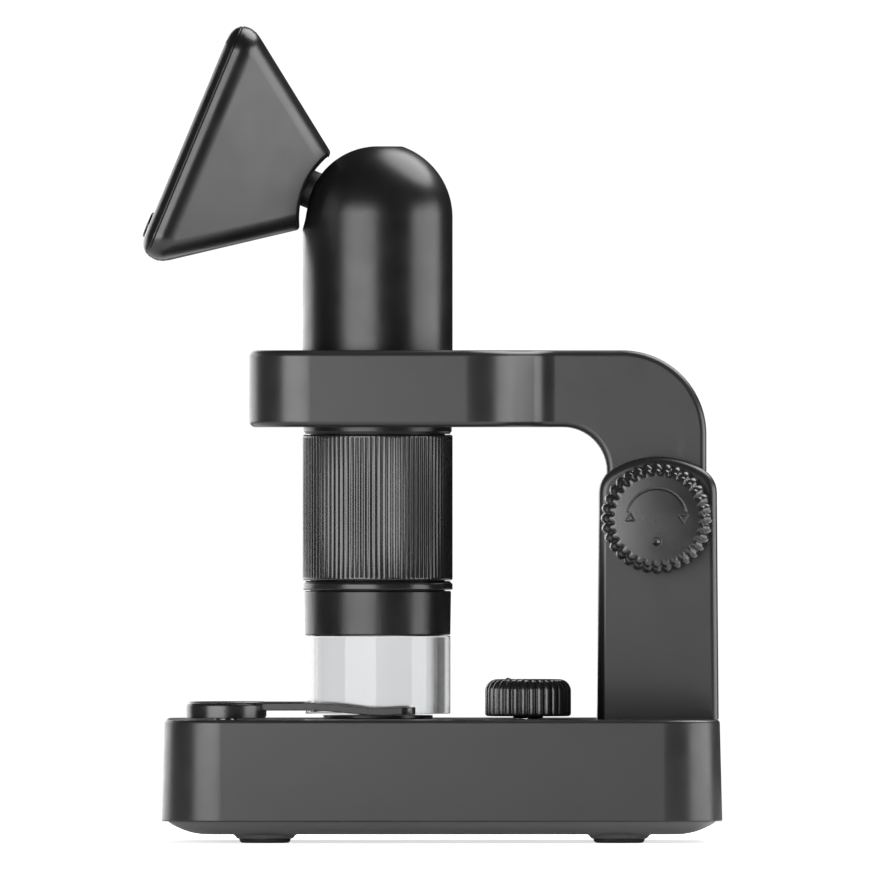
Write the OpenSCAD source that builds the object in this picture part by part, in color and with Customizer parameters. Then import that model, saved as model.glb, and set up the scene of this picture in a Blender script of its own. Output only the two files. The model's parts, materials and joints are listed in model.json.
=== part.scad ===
// Handheld digital microscope with a tilting display head, in a focusing stand.
// +X points from the display towards the column, +Z is up, and the feet stand on z = 0.
// Nodes are drawn at rest: arm at its lowest stop, display facing forwards and up.

/* [Base] */
// Length of the base, front to back
base_l = 126.6; // [122:0.2:140]
// Width of the base, side to side
base_w = 85; // [82:0.5:100]
// Radius of the base's corners, seen from above
base_corner_r = 13.5; // [12:0.5:18]
// Height of the housing, from its joint with the bottom cover to its top face
base_h = 22.85; // [22:0.05:30]
// Wall of the housing
base_wall = 2.2; // [1.8:0.1:3]
// Thickness of the housing's top plate
base_top_t = 2.5; // [2:0.1:3.2]
// How far the side walls lean in by the top
base_draft = 0.55; // [0:0.05:1]
// Radius of the top edge
base_edge_r = 0.8; // [0.4:0.1:2]
// Depth of the rounded bottom cover
pan_h = 3; // [2.6:0.1:4]
// Height of the collar that carries a foot
foot_collar_h = 1; // [0.8:0.1:2]
// Radius of a rubber foot
foot_r = 5.8; // [4:0.1:7]
// Distance of the feet's middles from the base's ends
foot_from_end = 23.3; // [20:0.1:28]
// Distance of the feet's middles from the base's sides
foot_from_side = 16; // [12:0.5:16]

/* [Stage] */
// Outer radius of the black ring round the light window
stage_ring_r = 12.5; // [11:0.1:14]
// Height of that ring above the base
stage_ring_h = 0.9; // [0.5:0.1:1]
// Radius of the light window
window_r = 10.6; // [8:0.1:10.8]
// Radius of a clip's round end
clip_r = 9; // [7:0.1:10]
// Height of a clip's round end
clip_h = 3.8; // [3.2:0.1:5]
// Length of a clip's leaf, from its pivot to its tip
clip_l = 42.9; // [36:0.1:48]
// Width of a clip's leaf
clip_w = 6.5; // [5:0.1:7]
// Thickness of a clip's leaf
clip_t = 1.7; // [1.2:0.1:1.8]
// Radius of the dimmer knob
dimmer_r = 9.75; // [7:0.05:11]
// Height of the dimmer knob
dimmer_h = 8.4; // [6:0.1:12]

/* [Column and arm] */
// Width of the column at the base
col_w = 27.5; // [27.2:0.1:32]
// Depth of the column, side to side
col_d = 33; // [32:0.5:40]
// Radius of the column's arched top
col_arch_r = 19.8; // [18:0.1:24]
// Distance the arm travels
arm_travel = 25; // [15:0.5:28]
// Width of the arm
arm_w = 26; // [24:0.5:27]
// Height of the arm
arm_h = 17.4; // [14:0.1:22]
// Length of the leg's section, front to back
leg_l = 22.6; // [22:0.1:23]
// Distance from the leg's middle to the optical axis
arm_reach = 63.15; // [60:0.05:68]
// Width of the holder
holder_w = 50; // [46:0.5:60]
// Radius of the holder's corners
holder_corner_r = 14; // [8:0.5:18]
// Distance from the optical axis to the holder's front end
holder_front = 29.1; // [27:0.1:36]
// Radius of the focus knob
knob_r = 12.65; // [10:0.05:14]
// Thickness of the focus knob
knob_h = 9; // [7:0.1:14]

/* [Handheld microscope] */
// Radius of the barrel
barrel_r = 17; // [16.6:0.1:17.2]
// Length of the barrel, from the holder's top to the centre of the dome
barrel_h = 30.2; // [29:0.1:50]
// Wall of the barrel
barrel_wall = 1.6; // [1.4:0.1:1.8]
// Length of the focus ring
focus_ring_h = 33; // [31:0.1:40]
// Length of the skirt that carries the clear cover
skirt_h = 10; // [9.5:0.1:16]
// Length of the clear cover
cover_h = 17.8; // [14:0.1:30]
// Wall of the clear cover
cover_wall = 2.9; // [2.4:0.1:3]

/* [Display head] */
// Width and height of the display head
head_w = 56.5; // [56:0.1:64]
// Elevation of the display's axis at rest
head_elevation = 22.65; // [20:0.05:30]
// Distance from the dome's centre to the display's front face
head_reach = 46.9; // [46:0.1:52]
// Radius of the head's corners, seen from the front
head_corner_r = 6; // [5:0.1:9]
// Width of the screen's glass
glass_w = 50; // [44:0.1:50.5]
// Height of the screen's glass
glass_h = 40; // [34:0.1:40.5]
// Radius of a key
key_r = 3; // [2:0.1:3.2]
// Travel of a key
key_travel = 0.5; // [0.3:0.1:0.5]

/* [Hidden] */

// How far a cut runs past the surface it opens
over = 1;
// Gap between moulded pieces that are fitted together
fit = 0.15;
// Gap of a pressed or glued round seat
seat_fit = 0.03;
// Radial gap of a running shaft
run_fit = 0.06;
// Gap between pieces that slide or turn past each other
slide = 0.35;
// Sides of a full turn on round pieces
$fn = 96;

// Distance that the base's middle stands behind the origin
base_mid_x = 2;
// Visible height of a rubber foot below its collar
foot_pad_h = 0.95;
// Thickness of the bottom cover's floor
pan_t = 2;
// Inset of the bottom cover at the joint
pan_inset = 1.3;
// How far the bottom cover's rounded edge curves in
pan_curve = 9;
// Height of the lip that locates the bottom cover in the housing
pan_lip_h = 3;
// Wall of that lip
pan_lip_t = 1.6;
// How much wider a foot's collar is than the foot, at the cover and at the foot
foot_collar_flare = 2;
foot_collar_step = 0.5;
// How deep a foot is set into its collar
foot_inset = 0.8;

pan_bottom_z = foot_collar_h + foot_pad_h;
base_joint_z = pan_bottom_z + pan_h;
base_top_z = base_joint_z + base_h;
base_under_z = base_top_z - base_top_t;
pan_floor_z = pan_bottom_z + pan_t;

// Places and sizes of the cover's screws and their bosses
cover_screw_x = 24;
cover_screw_from_side = 13.5;
screw_boss_r = 3.4;
screw_r = 1.3;
screw_head_r = 2.4;
screw_head_h = 1.3;
screw_grip = 9;
pilot_r = 1.05;
screw_slot_w = 0.6;
screw_slot_depth = 0.5;

// Size of a cell, its nub and the pitch of the three cells
cell_r = 5.25;
cell_l = 44.5;
cell_nub_r = 1.9;
cell_nub_l = 1.2;
cell_pitch = 10.8;
cell_count = 3;
// Room for a contact at each end of the cells, and the contact's plate
contact_room = 2.4;
contact_t = 0.5;
contact_h = 8.5;
contact_bump_r = 2.2;
// Distance from the cover's rounded front edge back to the battery door
bay_margin = 1.05;
// Wall of the battery bay and the block that takes the door's screw
bay_wall = 1.6;
bay_wall_h = 9;
bay_block = 5;
door_t = 1.8;
door_corner_r = 1.5;
door_grip_w = 12;
door_grip_l = 1.2;
door_grip_depth = 0.6;
door_grip_count = 4;

bay_l = cell_l + 2 * contact_room;
bay_w = (cell_count - 1) * cell_pitch + 2 * cell_r + 4 * fit;
door_l = bay_l + bay_block;
door_w = bay_w + bay_wall;
// Distance from the base's middle forwards to the middle of the battery bay
bay_x = base_l / 2 - pan_inset - pan_curve - bay_margin - door_l / 2;
cell_z = pan_bottom_z + door_t + 2 * fit + cell_r;

// Column: how far its rear face stands in from the base's rear edge, and its taper
col_setback = 0.15;
col_taper = 0.8;
// Radius where the arched top meets the column's sides
col_shoulder_r = 6;
// Distance from the arm's underside down to the column's apex
col_drop = 6.7;
// Distance from the column's apex down to the pinion shaft
knob_drop = 13.9;
// How far the leg stands in front of the column's middle
leg_offset = 0.3;
// Walls of the hollow leg, across the rack's direction and along it
leg_wall = 1.6;
leg_side_wall = 1.8;
// Gap between the leg's lower end and the base
leg_gap = 2.2;
// Distance from the arm's underside down to the top of the leg's hollow
leg_roof = 9;
// Column screws: distance from the column's middle and their grip
col_screw_x = 8;
col_screw_grip = 8;

col_x = base_mid_x + base_l / 2 - base_draft - col_setback - col_w / 2;
leg_x = col_x - leg_offset;
axis_x = leg_x - arm_reach;

// Heights of the stack from the base up to the arm
cover_gap = 1.2;
seam_h = 0.2;
trim_ring_h = 1.6;
ring_gap = 0.6;
collar_h = 1.7;
// Depth of the groove above and below the focus ring
groove_depth = 0.5;

cover_z = base_top_z + cover_gap;
skirt_z = cover_z + cover_h;
trim_z = skirt_z + skirt_h + seam_h;
ring_z = trim_z + trim_ring_h + ring_gap;
ring_top_z = ring_z + focus_ring_h;
arm_z = ring_top_z + collar_h;
arm_top_z = arm_z + arm_h;
dome_z = arm_top_z + barrel_h;
col_top_z = arm_z - col_drop;
shaft_z = col_top_z - knob_drop;
leg_z = base_top_z + leg_gap;

// Plan of the arm: bends of the waist, their angle and where the waist starts
waist_outer_r = 15;
waist_inner_r = 6.8;
waist_angle = 48;
waist_start = 19.8;
// Bend from the arm into the leg
bend_outer_r = 19;
bend_inner_r = 9.8;

// Gear: module, teeth, pressure angle and thinning of a tooth for backlash
gear_module = 0.8;
gear_teeth = 16;
gear_angle = 25;
gear_thin = 0.2;
pinion_w = 9;
rack_w = 8;
gear_dedendum_share = 1.25;
pinion_pitch_r = gear_module * gear_teeth / 2;
rack_pitch = PI * gear_module;

// Shaft, its bushes and the pieces on it
shaft_r = 2.5;
bush_r = 4.2;
knob_gap = 0.8;
knob_bore = 6;
washer_r = 7;
washer_t = 0.5;
cap_r = 5.6;
cap_h = 1;
shaft_setback = 0.3;

// Knob: scallops, rounded front edge, engraved arc and pip
knob_flutes = 32;
knob_flute_depth = 0.9;
knob_edge_r = 3.1;
knob_arc_r = 6.7;
knob_arc_w = 0.4;
knob_arc_depth = 0.3;
knob_arc_sweep = 160;
knob_pip_y = 5.4;
knob_pip_r = 0.85;
knob_pip_depth = 0.4;

// Holder's liner: wall, gap to the barrel and step below the holder's faces
liner_wall = 1.35;
liner_gap = 0.25;
liner_step = 0.5;
liner_r = barrel_r + liner_gap + liner_wall;

// Stage window and its ring
ring_tube_wall = 1.1;
ring_tube_depth = 6.9;
window_t = 1.8;
window_step = 0.3;
window_ledge = 0.7;
board_t = 1.2;
led_w = 2.8;
led_h = 0.9;
led_circle_r = 6;
led_count = 6;
tube_r = window_r + ring_tube_wall;
light_board_z = base_top_z - ring_tube_depth - board_t;

// Dimmer: its place as a share of the way from the optical axis to the column
dimmer_share = 0.686;
// Gap below the dimmer knob, shaft and pot
dimmer_gap = 0.6;
dimmer_shaft_r = 2.5;
dimmer_bore = 5;
dimmer_hub_r = 3.4;
dimmer_flutes = 30;
dimmer_flute_depth = 0.7;
dimmer_edge_r = 2.7;
dimmer_pip_x = 4.4;
dimmer_pip_r = 0.9;
dimmer_pip_h = 0.35;
pot_w = 15;
pot_h = 6;
pot_bush_r = 4.4;
pot_floor = 0.8;
dimmer_x = axis_x + dimmer_share * (col_x - col_w / 2 - axis_x);

// Clips: distance of the pivot from the base's front, and its place as a share of the way
// from where the leaf would touch the clear cover to the base's side
clip_from_front = 14.4;
clip_side_share = 0.1;
// Pin, fall of the leaf and its upturned tip
clip_pin_r = 2.5;
clip_pin_depth = 7;
clip_pin_boss_r = 4.6;
clip_cap_t = 0.9;
clip_leaf_drop = 1.15;
clip_tip_rise = 0.25;
clip_tip_r = 3.25;
clip_edge_r = 0.8;
clip_gap = 0.3;
clip_leaf_z = 2.9;
// Shares of the leaf's length where its fall and its rise begin and end
clip_fall_shares = [0.45, 0.83];
clip_rise_shares = [0.84, 0.97];
clip_x = base_mid_x - base_l / 2 + clip_from_front;

// Handheld: chassis, lens carriage and boards
chassis_wall = 1.5;
chassis_lap = 7.5;
collar_inset = 0.2;
collar_lap = 0.8;
focus_ribs = 90;
focus_rib_depth = 0.4;
focus_edge_h = 0.7;
lens_travel = 10;
lens_z_up = 5;
lens_flange_h = 3;
lens_flange_gap = 0.4;
lens_tube_r = 6.5;
lens_tube_wall = 1.2;
lens_tube_h = 9;
lens_pin_r = 1.2;
lens_pin_reach = 0.3;
lens_slot_gap = 0.3;
lens_recess = 0.35;
objective_t = 2.4;
objective_gap = 1.6;
ledge_w = 1.4;
ledge_h = 1.5;
sensor_from_top = 3;
sensor_w = 7;
sensor_h = 0.9;
skirt_inset = 0.35;
skirt_taper = 0.15;
cover_inset = 0.5;
cover_r = barrel_r - cover_inset;
spigot_h = 3.6;
spigot_wall = 1.2;
chassis_below = 4;
ring_board_bore = 8;
ring_led_count = 8;
ring_led_r = 11;
ring_led_w = 2;
ring_led_h = 0.7;
led_ring_t = 1;
barrel_bore_r = barrel_r - barrel_wall;
chassis_r = barrel_bore_r - fit;
clip_near_r = cover_r + clip_w / 2;
clip_y = clip_near_r + clip_side_share * (base_w / 2 - clip_near_r);
focus_bore_r = chassis_r + slide;
chassis_bottom_z = trim_z - chassis_below;
lens_z = ring_z + lens_z_up;
sensor_z = ring_top_z - sensor_from_top;

// Main board, cell, sockets and power button, on the far side of the barrel
board_y = 7.5;
main_board_lift = 1;
battery_t = 7;
battery_w = 19;
battery_l = 24;
usb_w = 8.9;
usb_h = 3.2;
usb_wall = 0.4;
usb_tongue_t = 0.7;
card_w = 13;
card_h = 2.2;
card_slit_w = 11.3;
card_slit_h = 0.9;
usb_from_card = 6.5;
socket_setback = 0.5;
power_r = 2.6;
card_from_power = 7.1;
power_proud = 0.7;
power_travel = 0.4;
power_flange = 0.7;
power_flange_t = 0.8;
switch_w = 4;
switch_gap = 0.15;

// Neck joint in the dome
slot_r = 5.45;
slot_low_elevation = 10.2;
neck_r = 4.3;
neck_bore_r = 2.2;
saddle_r = 7.5;
saddle_t = 2;
seat_t = 1.7;
seat_skirt = 8;
// How far the seat's sphere wraps below the dome's centre, in degrees
seat_wrap = 25;
seat_flange_h = 1.5;
seat_slot_r = 3;
neck_collar_r = 6.6;
neck_collar_t = 1.5;
neck_tail = 1.2;

// Display head, measured outwards from the dome's centre along the display's axis
head_rear = 15.6;
head_rear_half = 9.6;
head_rear_corner_r = 4.5;
head_rear_land = 0.1;
head_flare_end = 7;
head_flare_inset = 1.2;
head_side_start = 4.3;
head_side_end = 3.4;
head_seam = 2.2;
head_front_inset = 4;
head_wall = 1.8;
head_seat_gap = 0.8;
head_back_wall = 2.4;
glass_t = 1.1;
glass_step = 0.1;
glass_corner_r = 2.5;
glass_ledge = 2.2;
glass_v = 4.5;
lcd_w_inset = 7.6;
lcd_t = 2.6;
lcd_air = 0.9;
head_board_w = 47.6;
post_r = 1.5;
post_y = 22.6;
post_top_v = 21.9;
post_low_v = 22.4;
head_screw_r = 0.9;
head_screw_head_r = 1.5;
head_screw_head_h = 0.9;
key_pitch = 11;
key_v = 21.6;
key_proud = 0.6;
key_gap = 0.25;
key_flange = 0.6;
key_flange_t = 0.9;
key_edge_r = 0.5;
key_count = 4;

head_seam_u = head_reach - head_seam;
glass_u = head_reach - glass_step - glass_t;
lcd_u = glass_u - lcd_t;
head_board_u = lcd_u - lcd_air - board_t;
neck_end = head_rear + head_seat_gap + barrel_wall + head_back_wall
    + neck_collar_t + neck_tail + slide;
head_seat_r = barrel_r + head_seat_gap;
head_cavity_u = head_seat_r + head_back_wall;
main_board_z = arm_z + chassis_lap + main_board_lift;
main_board_top_z = dome_z - seat_skirt - 2 * fit;
power_z = main_board_top_z - power_r - power_flange;
card_z = power_z - card_from_power;
usb_z = card_z - usb_from_card;

// Points of an arc about c, from angle a0 to a1, in n steps
function arc(c, r, a0, a1, n) =
    [for (i = [0:n]) c + r * [cos(a0 + (a1 - a0) * i / n), sin(a0 + (a1 - a0) * i / n)]];

// Smooth step from 0 to 1 as x goes from a to b
function ease(x, a, b) = let (t = min(max((x - a) / (b - a), 0), 1)) t * t * (3 - 2 * t);

// Outline of a fluted disc: n flutes, each drawn with a few points
function fluted(r, depth, n, steps) =
    [for (i = [0:n * steps - 1]) let (a = 360 * i / (n * steps))
        (r - depth * (1 - cos(n * a)) / 2) * [cos(a), sin(a)]];

// Rectangle with round corners, centred
module round_rect(l, w, r) {
    square([l - 2 * r, w], center = true);
    square([l, w - 2 * r], center = true);
    for (x = [-1, 1], y = [-1, 1]) translate([x * (l / 2 - r), y * (w / 2 - r)]) circle(r);
}

// Block with round corners whose section follows a profile of [height, inset] pairs
module profiled_block(l, w, r, profile, sides = 64) {
    last = len(profile) - 1;
    outline = concat([[0, profile[0][0]]],
                     [for (p = profile) [r - p[1], p[0]]],
                     [[0, profile[last][0]]]);
    hull() for (x = [-1, 1], y = [-1, 1])
        translate([x * (l / 2 - r), y * (w / 2 - r)])
            rotate_extrude($fn = sides) polygon(outline);
}

// Ring or tube standing on the XY plane
module tube(r_out, r_in, h) {
    difference() {
        cylinder(r = r_out, h = h);
        translate([0, 0, -over]) cylinder(r = r_in, h = h + 2 * over);
    }
}

// Disc whose height is the radius of its round upper edge
module round_edge_disc(r, edge_r) {
    rotate_extrude() polygon(concat([[0, 0]], arc([r - edge_r, 0], edge_r, 0, 90, 10), [[0, edge_r]]));
}

// Extrudes an XZ outline from y0 to y1
module along_y(y0, y1) {
    translate([0, y1, 0]) rotate([90, 0, 0]) linear_extrude(y1 - y0) children();
}

// Cylinder along Y from y0 to y1
module rod_y(r, y0, y1) {
    translate([0, y1, 0]) rotate([90, 0, 0]) cylinder(r = r, h = y1 - y0);
}

// Round screw with a cross slot, head down, standing on its head's face
module screw_up(r, grip, head_r, head_h) {
    difference() {
        union() {
            cylinder(r = head_r, h = head_h);
            cylinder(r = r, h = head_h + grip);
        }
        for (a = [0, 90]) rotate(a)
            translate([-head_r / 2 - screw_slot_w / 2, -screw_slot_w / 2, -over])
                cube([head_r + screw_slot_w, screw_slot_w, over + screw_slot_depth]);
    }
}

module at_base() translate([base_mid_x, 0, 0]) children();
module at_axis(z = 0) translate([axis_x, 0, z]) children();
module at_shaft() translate([leg_x, 0, shaft_z]) children();

// Frame of the display head: +Z runs outwards, +X up along the screen, +Y to the far side
module at_head() {
    translate([axis_x, 0, dome_z]) rotate([0, head_elevation - 90, 0]) children();
}

// Places of the four feet and of the four cover screws
module at_feet() for (x = [-1, 1], y = [-1, 1])
    at_base() translate([x * (base_l / 2 - foot_from_end), y * (base_w / 2 - foot_from_side), 0])
        children();
module at_cover_screws() for (x = [-1, 1], y = [-1, 1])
    at_base() translate([x * cover_screw_x, y * (base_w / 2 - cover_screw_from_side), 0])
        children();
module at_door_screw() at_base() translate([-bay_x + door_l / 2 - bay_block / 2, 0, 0]) children();
module at_column_screws() for (x = [-1, 1], y = [-1, 1])
    translate([leg_x + x * col_screw_x, y * (col_d + arm_w + 2 * slide) / 4, 0]) children();
module at_clips() for (side = [-1, 1]) translate([clip_x, side * clip_y, 0]) children();

module base_housing() color("#4a4a4a") {
    inset = base_wall + base_draft;
    edge = [for (a = [0:15:90]) [base_top_z - base_edge_r + base_edge_r * sin(a),
                                 base_draft + base_edge_r * (1 - cos(a))]];
    difference() {
        union() {
            difference() {
                at_base() profiled_block(base_l, base_w, base_corner_r, concat([[base_joint_z, 0]], edge));
                at_base() translate([0, 0, base_joint_z - over])
                    linear_extrude(base_h - base_top_t + over)
                        round_rect(base_l - 2 * inset, base_w - 2 * inset, base_corner_r - inset);
            }
            at_cover_screws() translate([0, 0, pan_floor_z])
                cylinder(r = screw_boss_r, h = base_under_z - pan_floor_z);
            at_clips() translate([0, 0, base_under_z + base_top_t / 2 - clip_pin_depth])
                cylinder(r = clip_pin_boss_r, h = clip_pin_depth);
        }
        at_cover_screws() translate([0, 0, pan_floor_z - over])
            cylinder(r = pilot_r, h = screw_grip + over);
        at_axis(base_under_z - over) cylinder(r = tube_r + fit, h = base_top_t + 2 * over);
        translate([dimmer_x, 0, base_under_z - over])
            cylinder(r = pot_bush_r + fit, h = base_top_t + 2 * over);
        at_clips() translate([0, 0, base_top_z - clip_pin_depth])
            cylinder(r = clip_pin_r + seat_fit, h = clip_pin_depth + over);
        at_column_screws() translate([0, 0, base_under_z - over])
            cylinder(r = screw_r + fit, h = base_top_t + 2 * over);
    }
}

module base_cover() color("#3c3c3c") {
    inset = pan_inset + pan_curve;
    curve_r = (pan_curve * pan_curve + pan_h * pan_h) / 2 / pan_h;
    curve = [for (p = arc([0, curve_r], curve_r, -90, asin(pan_curve / curve_r) - 90, 7))
        [pan_bottom_z + p[1], inset - p[0]]];
    lip = base_wall + base_draft + fit;
    lip_in = lip + pan_lip_t;
    difference() {
        union() {
            difference() {
                at_base() profiled_block(base_l, base_w, base_corner_r, curve);
                at_base() translate([0, 0, pan_floor_z])
                    linear_extrude(base_h)
                        round_rect(base_l - 2 * inset, base_w - 2 * inset, base_corner_r - inset);
            }
            at_base() translate([0, 0, base_joint_z - pan_lip_t / 2])
                linear_extrude(pan_lip_h + pan_lip_t / 2) difference() {
                    round_rect(base_l - 2 * lip, base_w - 2 * lip, base_corner_r - lip);
                    round_rect(base_l - 2 * lip_in, base_w - 2 * lip_in, base_corner_r - lip_in);
                }
            at_feet() translate([0, 0, foot_pad_h])
                cylinder(r1 = foot_r + foot_collar_step, r2 = foot_r + foot_collar_flare,
                         h = foot_collar_h + pan_t / 2);
            at_base() translate([-bay_x, 0, pan_bottom_z + door_t])
                linear_extrude(bay_wall_h)
                    square([door_l + 2 * bay_wall, bay_w + 2 * bay_wall], center = true);
        }
        at_base() translate([-bay_x - bay_block / 2, 0, pan_bottom_z - over])
            linear_extrude(bay_wall_h + door_t + 2 * over) square([bay_l, bay_w], center = true);
        at_base() translate([-bay_x, 0, pan_bottom_z - over])
            linear_extrude(over + door_t) round_rect(door_l, door_w, door_corner_r);
        at_feet() translate([0, 0, foot_pad_h - over])
            cylinder(r = foot_r + seat_fit, h = over + foot_inset);
        at_cover_screws() translate([0, 0, pan_bottom_z - over]) {
            cylinder(r = screw_r + fit, h = over + bay_wall_h);
            cylinder(r = screw_head_r + fit, h = over + screw_head_h);
            translate([0, 0, over + pan_t]) cylinder(r = screw_boss_r + fit, h = bay_wall_h);
        }
        at_door_screw() translate([0, 0, pan_bottom_z]) cylinder(r = pilot_r, h = bay_wall_h);
    }
}

module base_screws() color("#9a9c9f") {
    at_cover_screws() translate([0, 0, pan_bottom_z])
        screw_up(pilot_r - seat_fit, pan_t + screw_grip - 2 * screw_head_h,
                 screw_head_r, screw_head_h);
    at_door_screw() translate([0, 0, pan_bottom_z])
        screw_up(pilot_r - seat_fit, bay_wall_h - 2 * screw_head_h,
                 screw_head_r - 2 * fit, screw_head_h / 2);
}

module foot_pads() color("#2a2a2a") at_feet() {
    cylinder(r1 = foot_r - foot_collar_step, r2 = foot_r, h = foot_collar_step);
    translate([0, 0, foot_collar_step])
        cylinder(r = foot_r, h = foot_pad_h + foot_inset - foot_collar_step);
}

module battery_door() color("#3c3c3c") {
    difference() {
        at_base() translate([-bay_x, 0, pan_bottom_z])
            linear_extrude(door_t) round_rect(door_l - 2 * fit, door_w - 2 * fit, door_corner_r - fit);
        at_base() for (i = [0:door_grip_count - 1])
            translate([-bay_x - door_l / 2 + door_corner_r + (2 * i + 1) * door_grip_l, -door_grip_w / 2,
                       pan_bottom_z - over])
                cube([door_grip_l, door_grip_w, over + door_grip_depth]);
        at_door_screw() translate([0, 0, pan_bottom_z - over]) {
            cylinder(r = pilot_r + fit, h = door_t + 2 * over);
            cylinder(r = screw_head_r, h = over + screw_head_h / 2);
        }
    }
}

module at_cells() for (i = [0:cell_count - 1])
    at_base() translate([-bay_x - bay_block / 2, (i - (cell_count - 1) / 2) * cell_pitch, cell_z])
        rotate([0, i % 2 == 0 ? 90 : -90, 0]) translate([0, 0, -cell_l / 2]) children();

module aaa_cells() color("#7f8894") at_cells() {
    cylinder(r = cell_r, h = cell_l - cell_nub_l);
    cylinder(r = cell_nub_r, h = cell_l);
}

module battery_contacts() color("#c8c8c4") for (end = [-1, 1]) {
    at_base() translate([-bay_x - bay_block / 2 + end * (bay_l - contact_t) / 2, 0, cell_z])
        cube([contact_t, bay_w - 2 * fit, contact_h], center = true);
    at_base() for (i = [0:cell_count - 1])
        translate([-bay_x - bay_block / 2 + end * (bay_l / 2 - contact_t),
                   (i - (cell_count - 1) / 2) * cell_pitch, cell_z])
            rotate([0, -end * 90, 0]) cylinder(r = contact_bump_r, h = contact_room - contact_t - 2 * fit);
}

module stage_ring() color("#202020") at_axis() difference() {
    union() {
        translate([0, 0, base_top_z]) cylinder(r = stage_ring_r, h = stage_ring_h);
        translate([0, 0, base_top_z - ring_tube_depth])
            cylinder(r = tube_r, h = ring_tube_depth + stage_ring_h);
    }
    translate([0, 0, base_top_z + stage_ring_h - window_step - window_t])
        cylinder(r = window_r + fit, h = window_t + window_step + over);
    translate([0, 0, base_top_z - ring_tube_depth - over])
        cylinder(r = window_r - window_ledge, h = ring_tube_depth + stage_ring_h + over);
}

module stage_window() color("#c9ccd0")
    at_axis(base_top_z + stage_ring_h - window_step - window_t) cylinder(r = window_r, h = window_t);

module light_board() color("#2f6b3c") at_axis(light_board_z) cylinder(r = tube_r, h = board_t);

module light_leds() color("#e8e4c0") at_axis(light_board_z + board_t) {
    translate([-led_w / 2, -led_w / 2, 0]) cube([led_w, led_w, led_h]);
    for (i = [0:led_count - 1]) rotate(360 * i / led_count)
        translate([led_circle_r - led_w / 2, -led_w / 2, 0]) cube([led_w, led_w, led_h]);
}

module dimmer_pot() color("#33393f") translate([dimmer_x, 0, 0]) difference() {
    union() {
        translate([-pot_w / 2, -pot_w / 2, base_under_z - pot_h]) cube([pot_w, pot_w, pot_h]);
        translate([0, 0, base_under_z - pot_h]) cylinder(r = pot_bush_r, h = pot_h + base_top_t);
    }
    translate([0, 0, base_under_z - pot_h + pot_floor])
        cylinder(r = dimmer_shaft_r + run_fit, h = pot_h + base_top_t + over);
}

module dimmer_shaft() color("#b8babd") translate([dimmer_x, 0, base_under_z - pot_h + pot_floor + slide])
    cylinder(r = dimmer_shaft_r, h = pot_h - pot_floor - slide + base_top_t + dimmer_gap + dimmer_bore);

module dimmer_knob() color("#333333") translate([dimmer_x, 0, base_top_z + dimmer_gap]) {
    difference() {
        union() {
            linear_extrude(dimmer_h - dimmer_edge_r)
                polygon(fluted(dimmer_r, dimmer_flute_depth, dimmer_flutes, 8));
            translate([0, 0, dimmer_h - dimmer_edge_r])
                round_edge_disc(dimmer_r - dimmer_flute_depth / 2, dimmer_edge_r);
            translate([-dimmer_pip_x, 0, dimmer_h - dimmer_pip_h])
                cylinder(r = dimmer_pip_r, h = 2 * dimmer_pip_h);
            translate([0, 0, fit - dimmer_gap]) cylinder(r = dimmer_hub_r, h = dimmer_gap);
        }
        translate([0, 0, -over]) cylinder(r = dimmer_shaft_r + seat_fit, h = over + dimmer_bore);
    }
}

module clip_pins() color("#a6a8ab") at_clips() translate([0, 0, base_top_z - clip_pin_depth])
    cylinder(r = clip_pin_r, h = clip_pin_depth + clip_h - clip_cap_t - clip_gap);

// Clip with its round end on the pivot and its leaf along +X
module clip() {
    n = 36;
    mid = [for (i = [0:n]) let (s = i / n)
        [s * clip_l, clip_leaf_z - clip_leaf_drop * ease(s, clip_fall_shares[0], clip_fall_shares[1])
                                 + clip_tip_rise * ease(s, clip_rise_shares[0], clip_rise_shares[1])]];
    outline = concat([for (p = mid) p + [0, clip_t / 2]],
                     [for (i = [n:-1:0]) mid[i] - [0, clip_t / 2]]);
    difference() {
        union() {
            rotate_extrude() polygon(concat([[0, clip_gap], [clip_r, clip_gap]],
                arc([clip_r - clip_edge_r, clip_h - clip_edge_r], clip_edge_r, 0, 90, 6), [[0, clip_h]]));
            intersection() {
                along_y(-clip_w / 2, clip_w / 2) polygon(outline);
                linear_extrude(2 * clip_h, center = true) {
                    translate([0, -clip_w / 2]) square([clip_l - clip_tip_r, clip_w]);
                    translate([clip_l - clip_tip_r, 0]) circle(clip_tip_r);
                }
            }
        }
        translate([0, 0, -over]) cylinder(r = clip_pin_r + run_fit, h = over + clip_h - clip_cap_t);
    }
}

module clip_near() color("#303030") translate([clip_x, -clip_y, base_top_z]) clip();
module clip_far() color("#303030") translate([clip_x, clip_y, base_top_z]) clip();

// Column's outline in the XZ plane: tapered sides under an arched top
function column_outline() =
    let (half = (col_w - col_taper) / 2,
         rise = sqrt(pow(col_arch_r - col_shoulder_r, 2) - pow(half - col_shoulder_r, 2)),
         arch_z = col_top_z - col_arch_r,
         turn = atan2(rise, half - col_shoulder_r))
    concat([[-col_w / 2, base_top_z], [col_w / 2, base_top_z]],
           arc([half - col_shoulder_r, arch_z + rise], col_shoulder_r, 0, turn, 6),
           arc([0, arch_z], col_arch_r, turn + 1, 180 - turn - 1, 24),
           arc([col_shoulder_r - half, arch_z + rise], col_shoulder_r, 180 - turn, 180, 6));

module column() color("#4a4a4a") difference() {
    translate([col_x, 0, 0]) along_y(-col_d / 2, col_d / 2) polygon(column_outline());
    translate([leg_x - leg_l / 2 - slide, -arm_w / 2 - slide, base_top_z - over])
        cube([leg_l + 2 * slide, arm_w + 2 * slide, col_top_z]);
    at_shaft() rod_y(bush_r + seat_fit, -col_d, col_d);
    at_column_screws() translate([0, 0, base_top_z - over])
        cylinder(r = pilot_r, h = col_screw_grip + over);
}

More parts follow.
